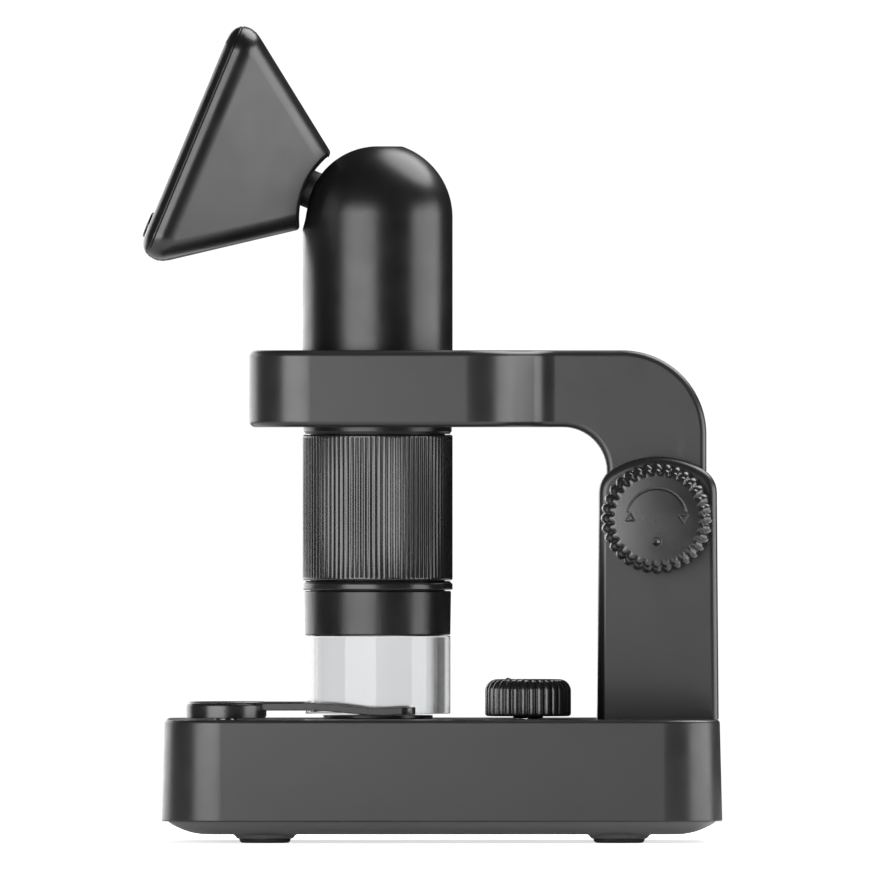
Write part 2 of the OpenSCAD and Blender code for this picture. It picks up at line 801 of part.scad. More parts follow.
module column_screws() color("#9a9c9f")
    at_column_screws() translate([0, 0, base_under_z - screw_head_h])
        screw_up(pilot_r - seat_fit, base_top_t + col_screw_grip - screw_head_h,
                 screw_head_r - 2 * fit, screw_head_h);

module shaft_bushes() color("#b08a4a") at_shaft() for (side = [0, 180]) rotate(side)
    difference() {
        rod_y(bush_r, arm_w / 2 + slide, col_d / 2);
        rod_y(shaft_r + run_fit, 0, col_d);
    }

module friction_washer() color("#c9c6ba") at_shaft() difference() {
    rod_y(washer_r, -col_d / 2 - fit - washer_t, -col_d / 2 - fit);
    rod_y(shaft_r + 2 * fit, -col_d, 0);
}

module shaft_cap() color("#333333") at_shaft() translate([0, col_d / 2, 0]) rotate([-90, 0, 0])
    rotate_extrude() polygon(concat([[0, 0], [cap_r, 0]],
        arc([cap_r - cap_h / 2, cap_h / 2], cap_h / 2, 0, 90, 6), [[0, cap_h]]));

// Half of the arm's plan, from the holder's front end to the rear of the leg
function arm_plan_side(side) =
    let (start = axis_x + waist_start,
         fall = (holder_w - arm_w) / 2 - (waist_outer_r + waist_inner_r) * (1 - cos(waist_angle)),
         run = fall / tan(waist_angle),
         end = start + (waist_outer_r + waist_inner_r) * sin(waist_angle) + run)
    [for (p = concat(
        arc([axis_x - holder_front + holder_corner_r, holder_w / 2 - holder_corner_r],
            holder_corner_r, 180, 90, 14),
        arc([start, holder_w / 2 - waist_outer_r], waist_outer_r, 90, 90 - waist_angle, 10),
        arc([end, arm_w / 2 + waist_inner_r], waist_inner_r, 270 - waist_angle, 270, 8),
        [[leg_x + leg_l / 2 + over, arm_w / 2]])) [p[0], side * p[1]]];

function reversed(list) = [for (i = [len(list) - 1:-1:0]) list[i]];

// Arm's outline in the XZ plane: bar, bend and leg
function arm_side() = concat(
    [[axis_x - holder_front - over, arm_z], [axis_x - holder_front - over, arm_top_z]],
    arc([leg_x + leg_l / 2 - bend_outer_r, arm_top_z - bend_outer_r], bend_outer_r, 90, 0, 24),
    [[leg_x + leg_l / 2, leg_z], [leg_x - leg_l / 2, leg_z]],
    arc([leg_x - leg_l / 2 - bend_inner_r, arm_z - bend_inner_r], bend_inner_r, 0, 90, 16));

module arm_frame() color("#4a4a4a") difference() {
    intersection() {
        along_y(-holder_w, holder_w) polygon(arm_side());
        translate([0, 0, leg_z - over]) linear_extrude(arm_top_z - leg_z + 2 * over)
            polygon(concat(arm_plan_side(1), reversed(arm_plan_side(-1))));
    }
    at_axis(arm_z - over) cylinder(r = liner_r + seat_fit, h = arm_h + 2 * over);
    translate([leg_x - leg_l / 2 + leg_wall, -arm_w / 2 + leg_side_wall, leg_z - over])
        cube([leg_l - 2 * leg_wall, arm_w - 2 * leg_side_wall, arm_z - leg_roof - leg_z + over]);
    at_shaft() {
        rod_y(shaft_r + slide, -arm_w, arm_w);
        translate([0, 0, -arm_travel]) rod_y(shaft_r + slide, -arm_w, arm_w);
        translate([-shaft_r - slide, -arm_w, -arm_travel])
            cube([2 * (shaft_r + slide), 2 * arm_w, arm_travel]);
    }
}

module holder_liner() color("#242424") at_axis(arm_z + liner_step)
    tube(liner_r, barrel_r + liner_gap, arm_h - 2 * liner_step);

// Half the angle a pinion tooth spans at radius r
function involute(a) = tan(a) * 180 / PI - a;
function tooth_half(r) =
    let (base_r = pinion_pitch_r * cos(gear_angle),
         half_pitch = (rack_pitch / 2 - gear_thin / 2) / 2 / pinion_pitch_r * 180 / PI)
    half_pitch + involute(gear_angle) - (r > base_r ? involute(acos(base_r / r)) : 0);

function pinion_outline() =
    let (root = pinion_pitch_r - gear_dedendum_share * gear_module,
         tip = pinion_pitch_r + gear_module,
         n = 5)
    [for (k = [0:gear_teeth - 1], i = [0:2 * n + 1])
        let (side = i <= n ? -1 : 1,
             r = root + (tip - root) * (i <= n ? i : 2 * n + 1 - i) / n,
             a = (k + 0.5) * 360 / gear_teeth + side * tooth_half(r))
        r * [cos(a), sin(a)]];

module pinion() color("#b08a4a") at_shaft() difference() {
    along_y(-pinion_w / 2, pinion_w / 2) polygon(pinion_outline());
    rod_y(shaft_r + seat_fit, -pinion_w, pinion_w);
}

// Rack: teeth face the pinion, one tooth level with its shaft
module rack() color("#b08a4a") {
    below = ceil((arm_travel + pinion_pitch_r) / rack_pitch);
    above = ceil(pinion_pitch_r / 2 / rack_pitch);
    half = (rack_pitch / 2 - gear_thin / 2) / 2;
    lean = tan(gear_angle) * gear_module;
    deep = gear_dedendum_share * gear_module;
    back = leg_l / 2 - leg_wall - pinion_pitch_r;
    foot = half + lean * gear_dedendum_share;
    tooth = [[deep, -foot], [-gear_module, lean - half], [-gear_module, half - lean], [deep, foot]];
    teeth = [for (k = [-below:above], p = tooth) [p[0], p[1] + k * rack_pitch]];
    at_shaft() translate([pinion_pitch_r, 0, 0]) along_y(-rack_w / 2, rack_w / 2)
        polygon(concat([[deep, -(below + 0.5) * rack_pitch]], teeth,
                       [[deep, (above + 0.5) * rack_pitch], [back, (above + 0.5) * rack_pitch],
                        [back, -(below + 0.5) * rack_pitch]]));
}

module pinion_shaft() color("#b8babd") at_shaft()
    rod_y(shaft_r, -col_d / 2 - knob_gap - knob_bore, col_d / 2 - shaft_setback);

module focus_knob() color("#333333") at_shaft() translate([0, -col_d / 2 - knob_gap, 0]) rotate([90, 0, 0])
    difference() {
        union() {
            linear_extrude(knob_h - knob_edge_r) polygon(fluted(knob_r, knob_flute_depth, knob_flutes, 8));
            translate([0, 0, knob_h - knob_edge_r])
                round_edge_disc(knob_r - knob_flute_depth / 2, knob_edge_r);
        }
        translate([0, 0, -over]) cylinder(r = shaft_r + seat_fit, h = over + knob_bore);
        translate([0, -knob_pip_y, knob_h - knob_pip_depth]) cylinder(r = knob_pip_r, h = over);
        translate([0, 0, knob_h - knob_arc_depth]) rotate(90 - knob_arc_sweep / 2)
            rotate_extrude(angle = knob_arc_sweep)
                translate([knob_arc_r - knob_arc_w / 2, 0]) square([knob_arc_w, over]);
    }

// Solid that clears the neck's path in the dome: a hole on top and a channel to the front
module neck_path(r) {
    reach = 2 * barrel_r;
    cylinder(r = r, h = reach);
    rotate([0, slot_low_elevation - 90, 0]) cylinder(r = r, h = reach);
    along_y(-r, r) polygon([[0, 0], [0, reach], [-reach, reach],
                            [-reach * cos(slot_low_elevation), reach * sin(slot_low_elevation)]]);
}

module barrel_shell() color("#3a3a3a") {
    lip_z = ring_top_z + fit;
    bottom = ring_top_z + ring_gap;
    difference() {
        translate([axis_x, 0, 0]) rotate_extrude() polygon(concat(
            [[barrel_bore_r, lip_z], [barrel_r - groove_depth, lip_z],
             [barrel_r - groove_depth, bottom], [barrel_r - collar_inset, bottom],
             [barrel_r - collar_inset, arm_z + collar_lap],
             [barrel_r, arm_z + collar_lap + collar_inset]],
            arc([0, dome_z], barrel_r, 0, 90, 40),
            arc([0, dome_z], barrel_bore_r, 90, 0, 40)));
        at_axis(dome_z) neck_path(slot_r);
        translate([axis_x - usb_w / 2 - fit, 0, usb_z - usb_h / 2 - fit])
            cube([usb_w + 2 * fit, 2 * barrel_r, usb_h + 2 * fit]);
        translate([axis_x - card_w / 2 - fit, 0, card_z - card_h / 2 - fit])
            cube([card_w + 2 * fit, 2 * barrel_r, card_h + 2 * fit]);
        at_axis(power_z) rod_y(power_r + key_gap, 0, 2 * barrel_r);
    }
}

module chassis_tube() color("#2b2b2b") {
    difference() {
        at_axis(chassis_bottom_z)
            tube(chassis_r, chassis_r - chassis_wall, arm_z + chassis_lap - chassis_bottom_z);
        translate([axis_x, -lens_pin_r - lens_slot_gap, lens_z - lens_slot_gap])
            cube([2 * chassis_r, 2 * (lens_pin_r + lens_slot_gap),
                  lens_travel + lens_flange_h + 2 * lens_slot_gap]);
    }
    at_axis(sensor_z - ledge_h)
        tube(chassis_r - chassis_wall / 2, chassis_r - chassis_wall - ledge_w, ledge_h);
}

module trim_ring() color("#202020") at_axis(trim_z) {
    tube(barrel_r, chassis_r + fit / 2, trim_ring_h);
    tube(barrel_r - groove_depth, chassis_r + fit / 2, trim_ring_h + ring_gap - fit);
}

module focus_ring() color("#333333") at_axis(ring_z) difference() {
    union() {
        cylinder(r = barrel_r - focus_rib_depth, h = focus_ring_h);
        translate([0, 0, focus_edge_h]) linear_extrude(focus_ring_h - 2 * focus_edge_h)
            polygon(fluted(barrel_r, focus_rib_depth, focus_ribs, 4));
    }
    translate([0, 0, -over]) cylinder(r = focus_bore_r, h = focus_ring_h + 2 * over);
    translate([0, 0, lens_z_up - 2 * lens_slot_gap])
        cylinder(r = focus_bore_r + lens_recess, h = lens_travel + lens_flange_h + 4 * lens_slot_gap);
}

module lens_barrel() color("#1f1f1f") at_axis(lens_z) {
    difference() {
        union() {
            cylinder(r = chassis_r - chassis_wall - lens_flange_gap, h = lens_flange_h);
            cylinder(r = lens_tube_r, h = lens_tube_h);
        }
        translate([0, 0, -over]) cylinder(r = lens_tube_r - lens_tube_wall, h = lens_tube_h + 2 * over);
    }
    translate([chassis_r - chassis_wall - 2 * lens_flange_gap, 0, lens_flange_h / 2]) rotate([0, 90, 0])
        cylinder(r = lens_pin_r, h = chassis_wall + lens_pin_reach + 2 * lens_flange_gap);
}

module objective_lenses() color("#bcd3dc") for (i = [0, 1])
    at_axis(lens_z + objective_gap + i * (objective_t + objective_gap)) intersection() {
        cylinder(r = lens_tube_r - lens_tube_wall - seat_fit, h = objective_t);
        translate([0, 0, objective_t - 2 * lens_tube_r]) sphere(r = 2 * lens_tube_r);
    }

module sensor_board() color("#2f6b3c") {
    at_axis(sensor_z) cylinder(r = chassis_r - chassis_wall - fit, h = board_t);
    at_axis(sensor_z - sensor_h) translate([-sensor_w / 2, -sensor_w / 2, 0])
        cube([sensor_w, sensor_w, sensor_h]);
}

module lens_skirt() color("#2b2b2b") at_axis(skirt_z) difference() {
    cylinder(r1 = barrel_r - skirt_inset - skirt_taper, r2 = barrel_r - skirt_inset, h = skirt_h);
    translate([0, 0, -over]) cylinder(r = chassis_r + fit / 2, h = skirt_h + 2 * over);
}

module clear_cover() color("#dfe6ea") at_axis(cover_z) {
    tube(cover_r, cover_r - cover_wall, cover_h - fit);
    translate([0, 0, cover_h - fit - spigot_wall])
        tube(chassis_r, chassis_r - spigot_wall, spigot_wall + spigot_h);
}

module led_ring_board() color("#e6e6e2") at_axis(chassis_bottom_z - led_ring_t)
    tube(chassis_r, ring_board_bore, led_ring_t);

module ring_leds() color("#e8e4c0") at_axis(chassis_bottom_z - led_ring_t - ring_led_h)
    for (i = [0:ring_led_count - 1]) rotate(360 * (i + 0.5) / ring_led_count)
        translate([ring_led_r - ring_led_w / 2, -ring_led_w / 2, 0])
            cube([ring_led_w, ring_led_w, ring_led_h]);

module main_board() color("#2f6b3c") {
    half = sqrt(pow(barrel_bore_r, 2) - pow(board_y + board_t, 2)) - 2 * fit;
    translate([axis_x - half, board_y, main_board_z])
        cube([2 * half, board_t, main_board_top_z - main_board_z]);
    translate([axis_x - switch_w / 2, board_y + board_t / 2, power_z - switch_w / 2])
        cube([switch_w, power_y() - power_travel - switch_gap - board_y - board_t / 2, switch_w]);
}

// Inner face of the power button
function power_y() = barrel_r - barrel_wall - power_flange_t - 2 * fit - power_travel;

module lithium_cell() color("#9aa4ad")
    translate([axis_x - battery_w / 2, board_y - battery_t - 2 * fit, main_board_z])
        cube([battery_w, battery_t, battery_l]);

module usb_port() color("#b8babd") {
    y0 = board_y + board_t;
    y1 = barrel_r - socket_setback;
    translate([axis_x, 0, usb_z]) {
        difference() {
            along_y(y0, y1) round_rect(usb_w, usb_h, usb_h / 2 - usb_wall);
            along_y(y0 + usb_wall, y1 + over)
                round_rect(usb_w - 2 * usb_wall, usb_h - 2 * usb_wall, usb_h / 2 - 2 * usb_wall);
        }
        along_y(y0, y1 - 2 * usb_wall) square([usb_w - usb_h, usb_tongue_t], center = true);
    }
}

module card_slot() color("#b8babd") {
    y0 = board_y + board_t;
    y1 = barrel_r - 2 * socket_setback - barrel_wall / 2;
    translate([axis_x, 0, card_z]) difference() {
        along_y(y0, y1) square([card_w, card_h], center = true);
        along_y(y0 + usb_wall, y1 + over) square([card_slit_w, card_slit_h], center = true);
    }
}

module power_button() color("#2a2a2a") at_axis(power_z) {
    rod_y(power_r, power_y(), barrel_r + power_proud);
    rod_y(power_r + power_flange, power_y(), power_y() + power_flange_t);
}

module ball_seat() color("#202020") at_axis(dome_z) {
    seat_r = barrel_bore_r - 2 * slide - saddle_t;
    low_r = seat_r * cos(seat_wrap);
    difference() {
        rotate_extrude() polygon(concat(
            [[low_r - seat_t, -seat_skirt], [chassis_r, -seat_skirt],
             [chassis_r, seat_flange_h - seat_skirt], [low_r, seat_flange_h - seat_skirt]],
            arc([0, 0], seat_r, -seat_wrap, 90, 30), arc([0, 0], seat_r - seat_t, 90, -seat_wrap, 30)));
        neck_path(seat_slot_r);
    }
}

module display_neck() color("#262626") at_head() difference() {
    union() {
        intersection() {
            sphere(r = barrel_bore_r - slide);
            cylinder(r = saddle_r, h = barrel_r);
        }
        cylinder(r = neck_r, h = neck_end);
    }
    sphere(r = barrel_bore_r - slide - saddle_t);
    translate([0, 0, -over]) cylinder(r = neck_bore_r, h = neck_end + 2 * over);
}

module neck_collar() color("#9a9c9f") at_head() translate([0, 0, head_cavity_u + slide])
    tube(neck_collar_r, neck_r + seat_fit, neck_collar_t);

// Outer shape of the display head, its flanks from the rear square to the front face
module head_block(inset, from_u) {
    half = head_w / 2 - inset;
    r = head_corner_r - inset / 2;
    flare_u = head_reach - head_flare_end;
    slope = (head_w / 2 - head_flare_inset - head_rear_half) / (flare_u - head_rear);
    rear_half = head_rear_half + slope * (from_u - head_rear) - inset;
    front = head_reach - head_side_end;
    hull() {
        for (x = [-1, 1], y = [-1, 1]) {
            translate([x * (rear_half - head_rear_corner_r), y * (rear_half - head_rear_corner_r), from_u])
                cylinder(r = head_rear_corner_r, h = head_rear_land, $fn = 48);
            translate([x * (half - r), y * (half - r), 0]) rotate_extrude($fn = 48) polygon(concat(
                [[0, flare_u], [r - head_flare_inset, flare_u],
                 [r - head_flare_inset / 3, (flare_u + head_reach - head_side_start) / 2],
                 [r, head_reach - head_side_start], [r, front]],
                [for (a = [15:15:90])
                    [r - head_front_inset * (1 - cos(a)), front + (head_side_end - inset) * sin(a)]],
                [[0, head_reach - inset]]));
        }
    }
}

module display_rear_shell() color("#4a4a4a") at_head() difference() {
    head_block(0, head_rear - head_seat_gap);
    rod_y(head_seat_r, -head_w, head_w);
    head_block(head_wall, head_cavity_u);
    translate([-head_w, -head_w, head_seam_u]) cube([2 * head_w, 2 * head_w, head_w]);
    cylinder(r = neck_r + run_fit, h = head_reach);
}

// Places of the keys, in a row under the screen
module at_key(i) at_head() translate([-key_v, (i - (key_count - 1) / 2) * key_pitch, 0]) children();

// Places of the posts that carry the display's board
module at_posts() for (y = [-1, 1]) {
    translate([post_top_v, y * post_y, 0]) children();
    translate([-post_low_v, y * post_y, 0]) children();
}

module display_bezel() color("#3a3a3a") {
    difference() {
        at_head() difference() {
            union() {
                difference() {
                    head_block(0, head_rear);
                    translate([-head_w, -head_w, 0]) cube([2 * head_w, 2 * head_w, head_seam_u]);
                }
                at_posts() translate([0, 0, head_board_u + board_t])
                    cylinder(r = post_r, h = head_seam_u - head_board_u - board_t);
            }
            translate([glass_v, 0, glass_u]) linear_extrude(over + glass_t + glass_step)
                round_rect(glass_h + 2 * fit, glass_w + 2 * fit, glass_corner_r);
            translate([glass_v, 0, head_seam_u - over]) linear_extrude(2 * over + glass_t)
                square([glass_h - 2 * glass_ledge, glass_w - 2 * glass_ledge], center = true);
            at_posts() translate([0, 0, head_board_u])
                cylinder(r = head_screw_r, h = head_seam_u - head_board_u);
        }
        for (i = [0:key_count - 1]) at_key(i) cylinder(r = key_r + key_gap, h = 2 * head_reach);
    }
}

module screen_glass() color("#0d0e10") at_head() translate([glass_v, 0, glass_u])
    linear_extrude(glass_t) round_rect(glass_h, glass_w, glass_corner_r - fit);

module lcd_panel() color("#1c2026") at_head() translate([glass_v, 0, lcd_u + lcd_t / 2])
    cube([glass_h - lcd_w_inset, glass_w - lcd_w_inset, lcd_t], center = true);

module display_board() color("#2f6b3c") {
    at_head() difference() {
        translate([0, 0, head_board_u + board_t / 2])
            cube([head_board_w, head_board_w, board_t], center = true);
        at_posts() translate([0, 0, head_board_u - over])
            cylinder(r = head_screw_r + fit, h = board_t + 2 * over);
    }
    for (i = [0:key_count - 1]) at_key(i)
        translate([-switch_w / 2, -switch_w / 2, head_board_u + board_t / 2])
            cube([switch_w, switch_w, key_foot_u() - key_travel - switch_gap - head_board_u - board_t / 2]);
}

// Inner face of a key
function key_foot_u() = head_seam_u - key_flange_t - fit;

module display_screws() color("#9a9c9f") at_head() at_posts() {
    translate([0, 0, head_board_u - head_screw_head_h])
        screw_up(head_screw_r - seat_fit, head_seam_u - head_board_u - fit,
                 head_screw_head_r, head_screw_head_h);
}

module key(i) at_key(i) {
    translate([0, 0, key_foot_u()]) cylinder(r = key_r + key_flange, h = key_flange_t);
    rotate_extrude() polygon(concat([[0, key_foot_u()], [key_r, key_foot_u()]],
        arc([key_r - key_edge_r, head_reach + key_proud - key_edge_r], key_edge_r, 0, 90, 6),
        [[0, head_reach + key_proud]]));
}

module key_menu() color("#2a2a2a") key(0);
module key_down() color("#2a2a2a") key(1);
module key_up() color("#2a2a2a") key(2);
module key_ok() color("#2a2a2a") key(3);

base_housing();
base_cover();
base_screws();
foot_pads();
battery_door();
aaa_cells();
battery_contacts();
light_board();
light_leds();
stage_window();
stage_ring();
dimmer_pot();
clip_pins();
column();
column_screws();
shaft_bushes();
friction_washer();
shaft_cap();
arm_frame();
holder_liner();
rack();
focus_knob();
pinion_shaft();
pinion();
dimmer_knob();
dimmer_shaft();
clip_near();
clip_far();
barrel_shell();
chassis_tube();
trim_ring();
lens_skirt();
clear_cover();
led_ring_board();
ring_leds();
sensor_board();
main_board();
lithium_cell();
usb_port();
card_slot();
ball_seat();
power_button();
focus_ring();
lens_barrel();
objective_lenses();
display_neck();
neck_collar();
display_rear_shell();
display_bezel();
screen_glass();
lcd_panel();
display_board();
display_screws();
key_menu();
key_down();
key_up();
key_ok();
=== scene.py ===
"""Looks of a handheld digital microscope in its focusing stand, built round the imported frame."""
import json
from math import atan2, cos, hypot, pi, radians, sin, sqrt

import bmesh
import bpy
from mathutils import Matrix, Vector


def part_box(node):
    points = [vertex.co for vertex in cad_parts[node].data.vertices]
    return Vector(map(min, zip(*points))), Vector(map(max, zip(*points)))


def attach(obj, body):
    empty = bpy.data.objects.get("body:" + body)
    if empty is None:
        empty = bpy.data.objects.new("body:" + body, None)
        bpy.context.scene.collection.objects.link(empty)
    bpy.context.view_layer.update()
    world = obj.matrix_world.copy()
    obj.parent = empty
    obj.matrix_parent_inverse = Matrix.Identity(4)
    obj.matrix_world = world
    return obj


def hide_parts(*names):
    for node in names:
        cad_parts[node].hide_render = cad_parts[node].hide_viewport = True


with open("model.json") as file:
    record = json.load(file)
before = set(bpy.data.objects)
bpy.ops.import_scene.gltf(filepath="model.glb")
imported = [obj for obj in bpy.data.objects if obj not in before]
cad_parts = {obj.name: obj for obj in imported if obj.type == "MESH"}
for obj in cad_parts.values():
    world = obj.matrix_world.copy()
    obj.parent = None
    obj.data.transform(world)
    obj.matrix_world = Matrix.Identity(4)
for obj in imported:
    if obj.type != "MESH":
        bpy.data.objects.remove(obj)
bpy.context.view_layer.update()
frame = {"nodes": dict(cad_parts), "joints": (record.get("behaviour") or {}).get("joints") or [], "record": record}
nodes = frame["nodes"]

# In metres
MM = 0.001
MICRON = 0.000001

# Colours of the dark plastics, as shares of white
BODY_COLOUR = (0.0175, 0.0175, 0.0177)
BARREL_COLOUR = (0.006, 0.006, 0.0061)
KNOB_COLOUR = (0.014, 0.014, 0.0142)
# The base cover's colour is painted light: far lighter than the body's, it stands in for light thrown up from the
# lit floor.
COVER_PAINTED_FLOOR_LIGHT = (0.13, 0.13, 0.131)

# The middle range of a noise texture
NOISE_LOW, NOISE_HIGH = 0.3, 0.7

# How far from a cell's edge a copper track ends and the plain solder mask starts, as shares of a cell
TRACK_END, SOLDER_START = 0.05, 0.09

# How far the roughness of moulded plastic strays from its mean
GLOSS_SPREAD = 0.035


# Materials

def new_material(name):
    material = bpy.data.materials.new(name)
    material.use_nodes = True
    tree = material.node_tree
    return material, tree, tree.nodes["Principled BSDF"]


def object_coordinates(tree):
    return tree.nodes.new("ShaderNodeTexCoord").outputs["Object"]


def noise(tree, scale, detail=3, stretch=None):
    """A noise texture of that many waves per metre. A share below 1 in stretch lengthens the waves along
    that axis."""
    texture = tree.nodes.new("ShaderNodeTexNoise")
    texture.inputs["Scale"].default_value = scale
    texture.inputs["Detail"].default_value = detail
    texture.inputs["Roughness"].default_value = 0.55
    source = object_coordinates(tree)
    if stretch:
        mapping = tree.nodes.new("ShaderNodeMapping")
        mapping.inputs["Scale"].default_value = stretch
        tree.links.new(source, mapping.inputs["Vector"])
        source = mapping.outputs["Vector"]
    tree.links.new(source, texture.inputs["Vector"])
    return texture.outputs["Fac"]


def ranged(tree, value, low, high, start=NOISE_LOW, end=NOISE_HIGH):
    """Maps start..end to low..high."""
    node = tree.nodes.new("ShaderNodeMapRange")
    node.inputs["From Min"].default_value = start
    node.inputs["From Max"].default_value = end
    node.inputs["To Min"].default_value = low
    node.inputs["To Max"].default_value = high
    tree.links.new(value, node.inputs["Value"])
    return node.outputs["Result"]


def ramped(tree, value, first, second, start=NOISE_LOW, end=NOISE_HIGH):
    """The first colour up to start, the second one from end on, and a blend between them."""
    ramp = tree.nodes.new("ShaderNodeValToRGB")
    for element, place, colour in zip(ramp.color_ramp.elements, (start, end), (first, second)):
        element.position = place
        element.color = (*colour, 1)
    tree.links.new(value, ramp.inputs["Fac"])
    return ramp.outputs["Color"]


def blended(tree, value, colour, share):
    """A colour that a texture varies by that share, lighter and darker."""
    return ramped(tree, value, [c * (1 - share) for c in colour], [c * (1 + share) for c in colour])


def computed(tree, operation, *values):
    """The result of a math node. Each value is a number or the output of another node."""
    node = tree.nodes.new("ShaderNodeMath")
    node.operation = operation
    for socket, value in zip(node.inputs, values):
        if isinstance(value, (int, float)):
            socket.default_value = value
        else:
            tree.links.new(value, socket)
    return node.outputs["Value"]


def bumped(tree, shader, height, microns):
    bump = tree.nodes.new("ShaderNodeBump")
    bump.inputs["Strength"].default_value = 1
    bump.inputs["Distance"].default_value = microns * MICRON
    tree.links.new(height, bump.inputs["Height"])
    tree.links.new(bump.outputs["Normal"], shader.inputs["Normal"])


def coated(name, colour, share, clouds, marks, roughness, cloud_detail=3, mark_detail=3):
    """A material whose colour varies by a share in clouds, and its roughness between two values in marks.
    Clouds and marks are waves per metre."""
    material, tree, shader = new_material(name)
    tint = blended(tree, noise(tree, clouds, cloud_detail), colour, share)
    gloss = ranged(tree, noise(tree, marks, mark_detail), *roughness)
    tree.links.new(tint, shader.inputs["Base Color"])
    tree.links.new(gloss, shader.inputs["Roughness"])
    return material, tree, shader


def plastic(name, colour, roughness, grain=4, ior=1.5):
    """Moulded plastic: a fine spark-eroded grain, with faint clouding and handling marks in its gloss."""
    gloss = (roughness - GLOSS_SPREAD, roughness + GLOSS_SPREAD)
    material, tree, shader = coated(name, colour, share=0.07, clouds=60, marks=140, mark_detail=5,
                                    roughness=gloss)
    shader.inputs["IOR"].default_value = ior
    bumped(tree, shader, noise(tree, scale=2600, detail=2), microns=grain)
    return material


def rubber(name, colour):
    material, tree, shader = coated(name, colour, share=0.2, clouds=220, cloud_detail=6, marks=700,
                                    roughness=(0.62, 0.82))
    bumped(tree, shader, noise(tree, scale=1500, detail=4), microns=20)
    return material


def metal(name, colour, roughness, stretch):
    """Drawn metal, with fine marks along the axis that stretch lengthens."""
    material, tree, shader = new_material(name)
    marks = noise(tree, scale=900, detail=4, stretch=stretch)
    gloss = ranged(tree, marks, low=roughness - 0.06, high=roughness + 0.08)
    tree.links.new(blended(tree, noise(tree, scale=90), colour, share=0.06), shader.inputs["Base Color"])
    tree.links.new(gloss, shader.inputs["Roughness"])
    shader.inputs["Metallic"].default_value = 1
    bumped(tree, shader, marks, microns=3)
    return material


def clear_plastic(name):
    """Clear polished plastic with faint flow lines. It refracts less than real acrylic, which softens
    the bands that its thick wall shows."""
    material, tree, shader = coated(name, (0.82, 0.825, 0.83), share=0.015, clouds=40, marks=200,
                                    roughness=(0.06, 0.1))
    shader.inputs["Transmission Weight"].default_value = 1
    shader.inputs["IOR"].default_value = 1.36
    bumped(tree, shader, noise(tree, scale=90, stretch=(1, 1, 0.25)), microns=10)
    return material


def glass(name, colour, roughness):
    material, tree, shader = coated(name, colour, share=0.02, clouds=30, marks=120, mark_detail=6,
                                    roughness=(roughness, roughness + 0.03))
    shader.inputs["Transmission Weight"].default_value = 1
    shader.inputs["IOR"].default_value = 1.5
    return material


def diffuser(name):
    """Milky light window: light enters and scatters in it."""
    material, tree, shader = coated(name, (0.74, 0.75, 0.76), share=0.03, clouds=150, marks=400,
                                    roughness=(0.3, 0.42))
    shader.inputs["Subsurface Weight"].default_value = 0.35
    shader.inputs["Subsurface Radius"].default_value = [1.2 * MM] * 3
    bumped(tree, shader, noise(tree, scale=1800), microns=4)
    return material


def circuit_board(name, mask, trace):
    """Solder mask over copper tracks, which show through it as a pattern."""
    material, tree, shader = new_material(name)
    cells = tree.nodes.new("ShaderNodeTexVoronoi")
    cells.feature = "DISTANCE_TO_EDGE"
    cells.inputs["Scale"].default_value = 420
    tree.links.new(object_coordinates(tree), cells.inputs["Vector"])
    tracks = ramped(tree, cells.outputs["Distance"], trace, mask, TRACK_END, SOLDER_START)
    gloss = ranged(tree, noise(tree, scale=300), low=0.3, high=0.4)
    tree.links.new(tracks, shader.inputs["Base Color"])
    tree.links.new(gloss, shader.inputs["Roughness"])
    return material


MATERIALS = {
    "body_plastic": plastic("body_plastic", BODY_COLOUR, roughness=0.31, ior=1.56),
    # The base cover's plastic, lightened with painted light from the floor below it.
    "cover_painted_floor_light": plastic("cover_painted_floor_light", COVER_PAINTED_FLOOR_LIGHT, roughness=0.4),
    "head_plastic": plastic("head_plastic", BARREL_COLOUR, roughness=0.31, ior=1.62),
    "barrel_plastic": plastic("barrel_plastic", BARREL_COLOUR, roughness=0.31),
    "knob_plastic": plastic("knob_plastic", KNOB_COLOUR, roughness=0.26, ior=1.64),
    "trim_plastic": plastic("trim_plastic", (0.014, 0.014, 0.015), roughness=0.24),
    "inner_plastic": plastic("inner_plastic", (0.018, 0.018, 0.018), roughness=0.5),
    "rubber": rubber("rubber", (0.016, 0.016, 0.016)),
    "clear_plastic": clear_plastic("clear_plastic"),
    "diffuser": diffuser("diffuser"),
    "glass": glass("glass", (0.55, 0.56, 0.58), roughness=0.01),
    "lens_glass": glass("lens_glass", (0.86, 0.9, 0.95), roughness=0),
    "lcd": plastic("lcd", (0.006, 0.007, 0.009), roughness=0.2, grain=1),
    "steel": metal("steel", (0.56, 0.57, 0.58), roughness=0.28, stretch=(1, 1, 0.1)),
    "brass": metal("brass", (0.72, 0.52, 0.27), roughness=0.3, stretch=(1, 0.1, 1)),
    "washer_plastic": plastic("washer_plastic", (0.6, 0.58, 0.52), roughness=0.45),
    "circuit_board": circuit_board("circuit_board", mask=(0.01, 0.09, 0.03), trace=(0.03, 0.2, 0.07)),
    "led_board": circuit_board("led_board", mask=(0.74, 0.74, 0.72), trace=(0.5, 0.48, 0.38)),
    "led": plastic("led", (0.8, 0.74, 0.42), roughness=0.35),
    "cell_wrap": plastic("cell_wrap", (0.12, 0.17, 0.23), roughness=0.3),
    "white_print": plastic("white_print", (0.5, 0.5, 0.51), roughness=0.5),
}

# Mouldings whose plastic looks lighter or glossier than the rest of their slot. The base cover's
# lighter grey is painted light: it stands in for the light that the lit floor throws up onto it.
OWN_LOOK = {
    "base_cover": "cover_painted_floor_light",
    "display_bezel": "head_plastic",
    "display_rear_shell": "head_plastic",
}

slot_of = {part["node"]: part["material_slot"] for part in frame["record"]["subparts"]}


def look_of(node):
    return MATERIALS[OWN_LOOK.get(node, slot_of[node])]


for name in nodes:
    nodes[name].data.materials.clear()
    nodes[name].data.materials.append(look_of(name))


# Edges

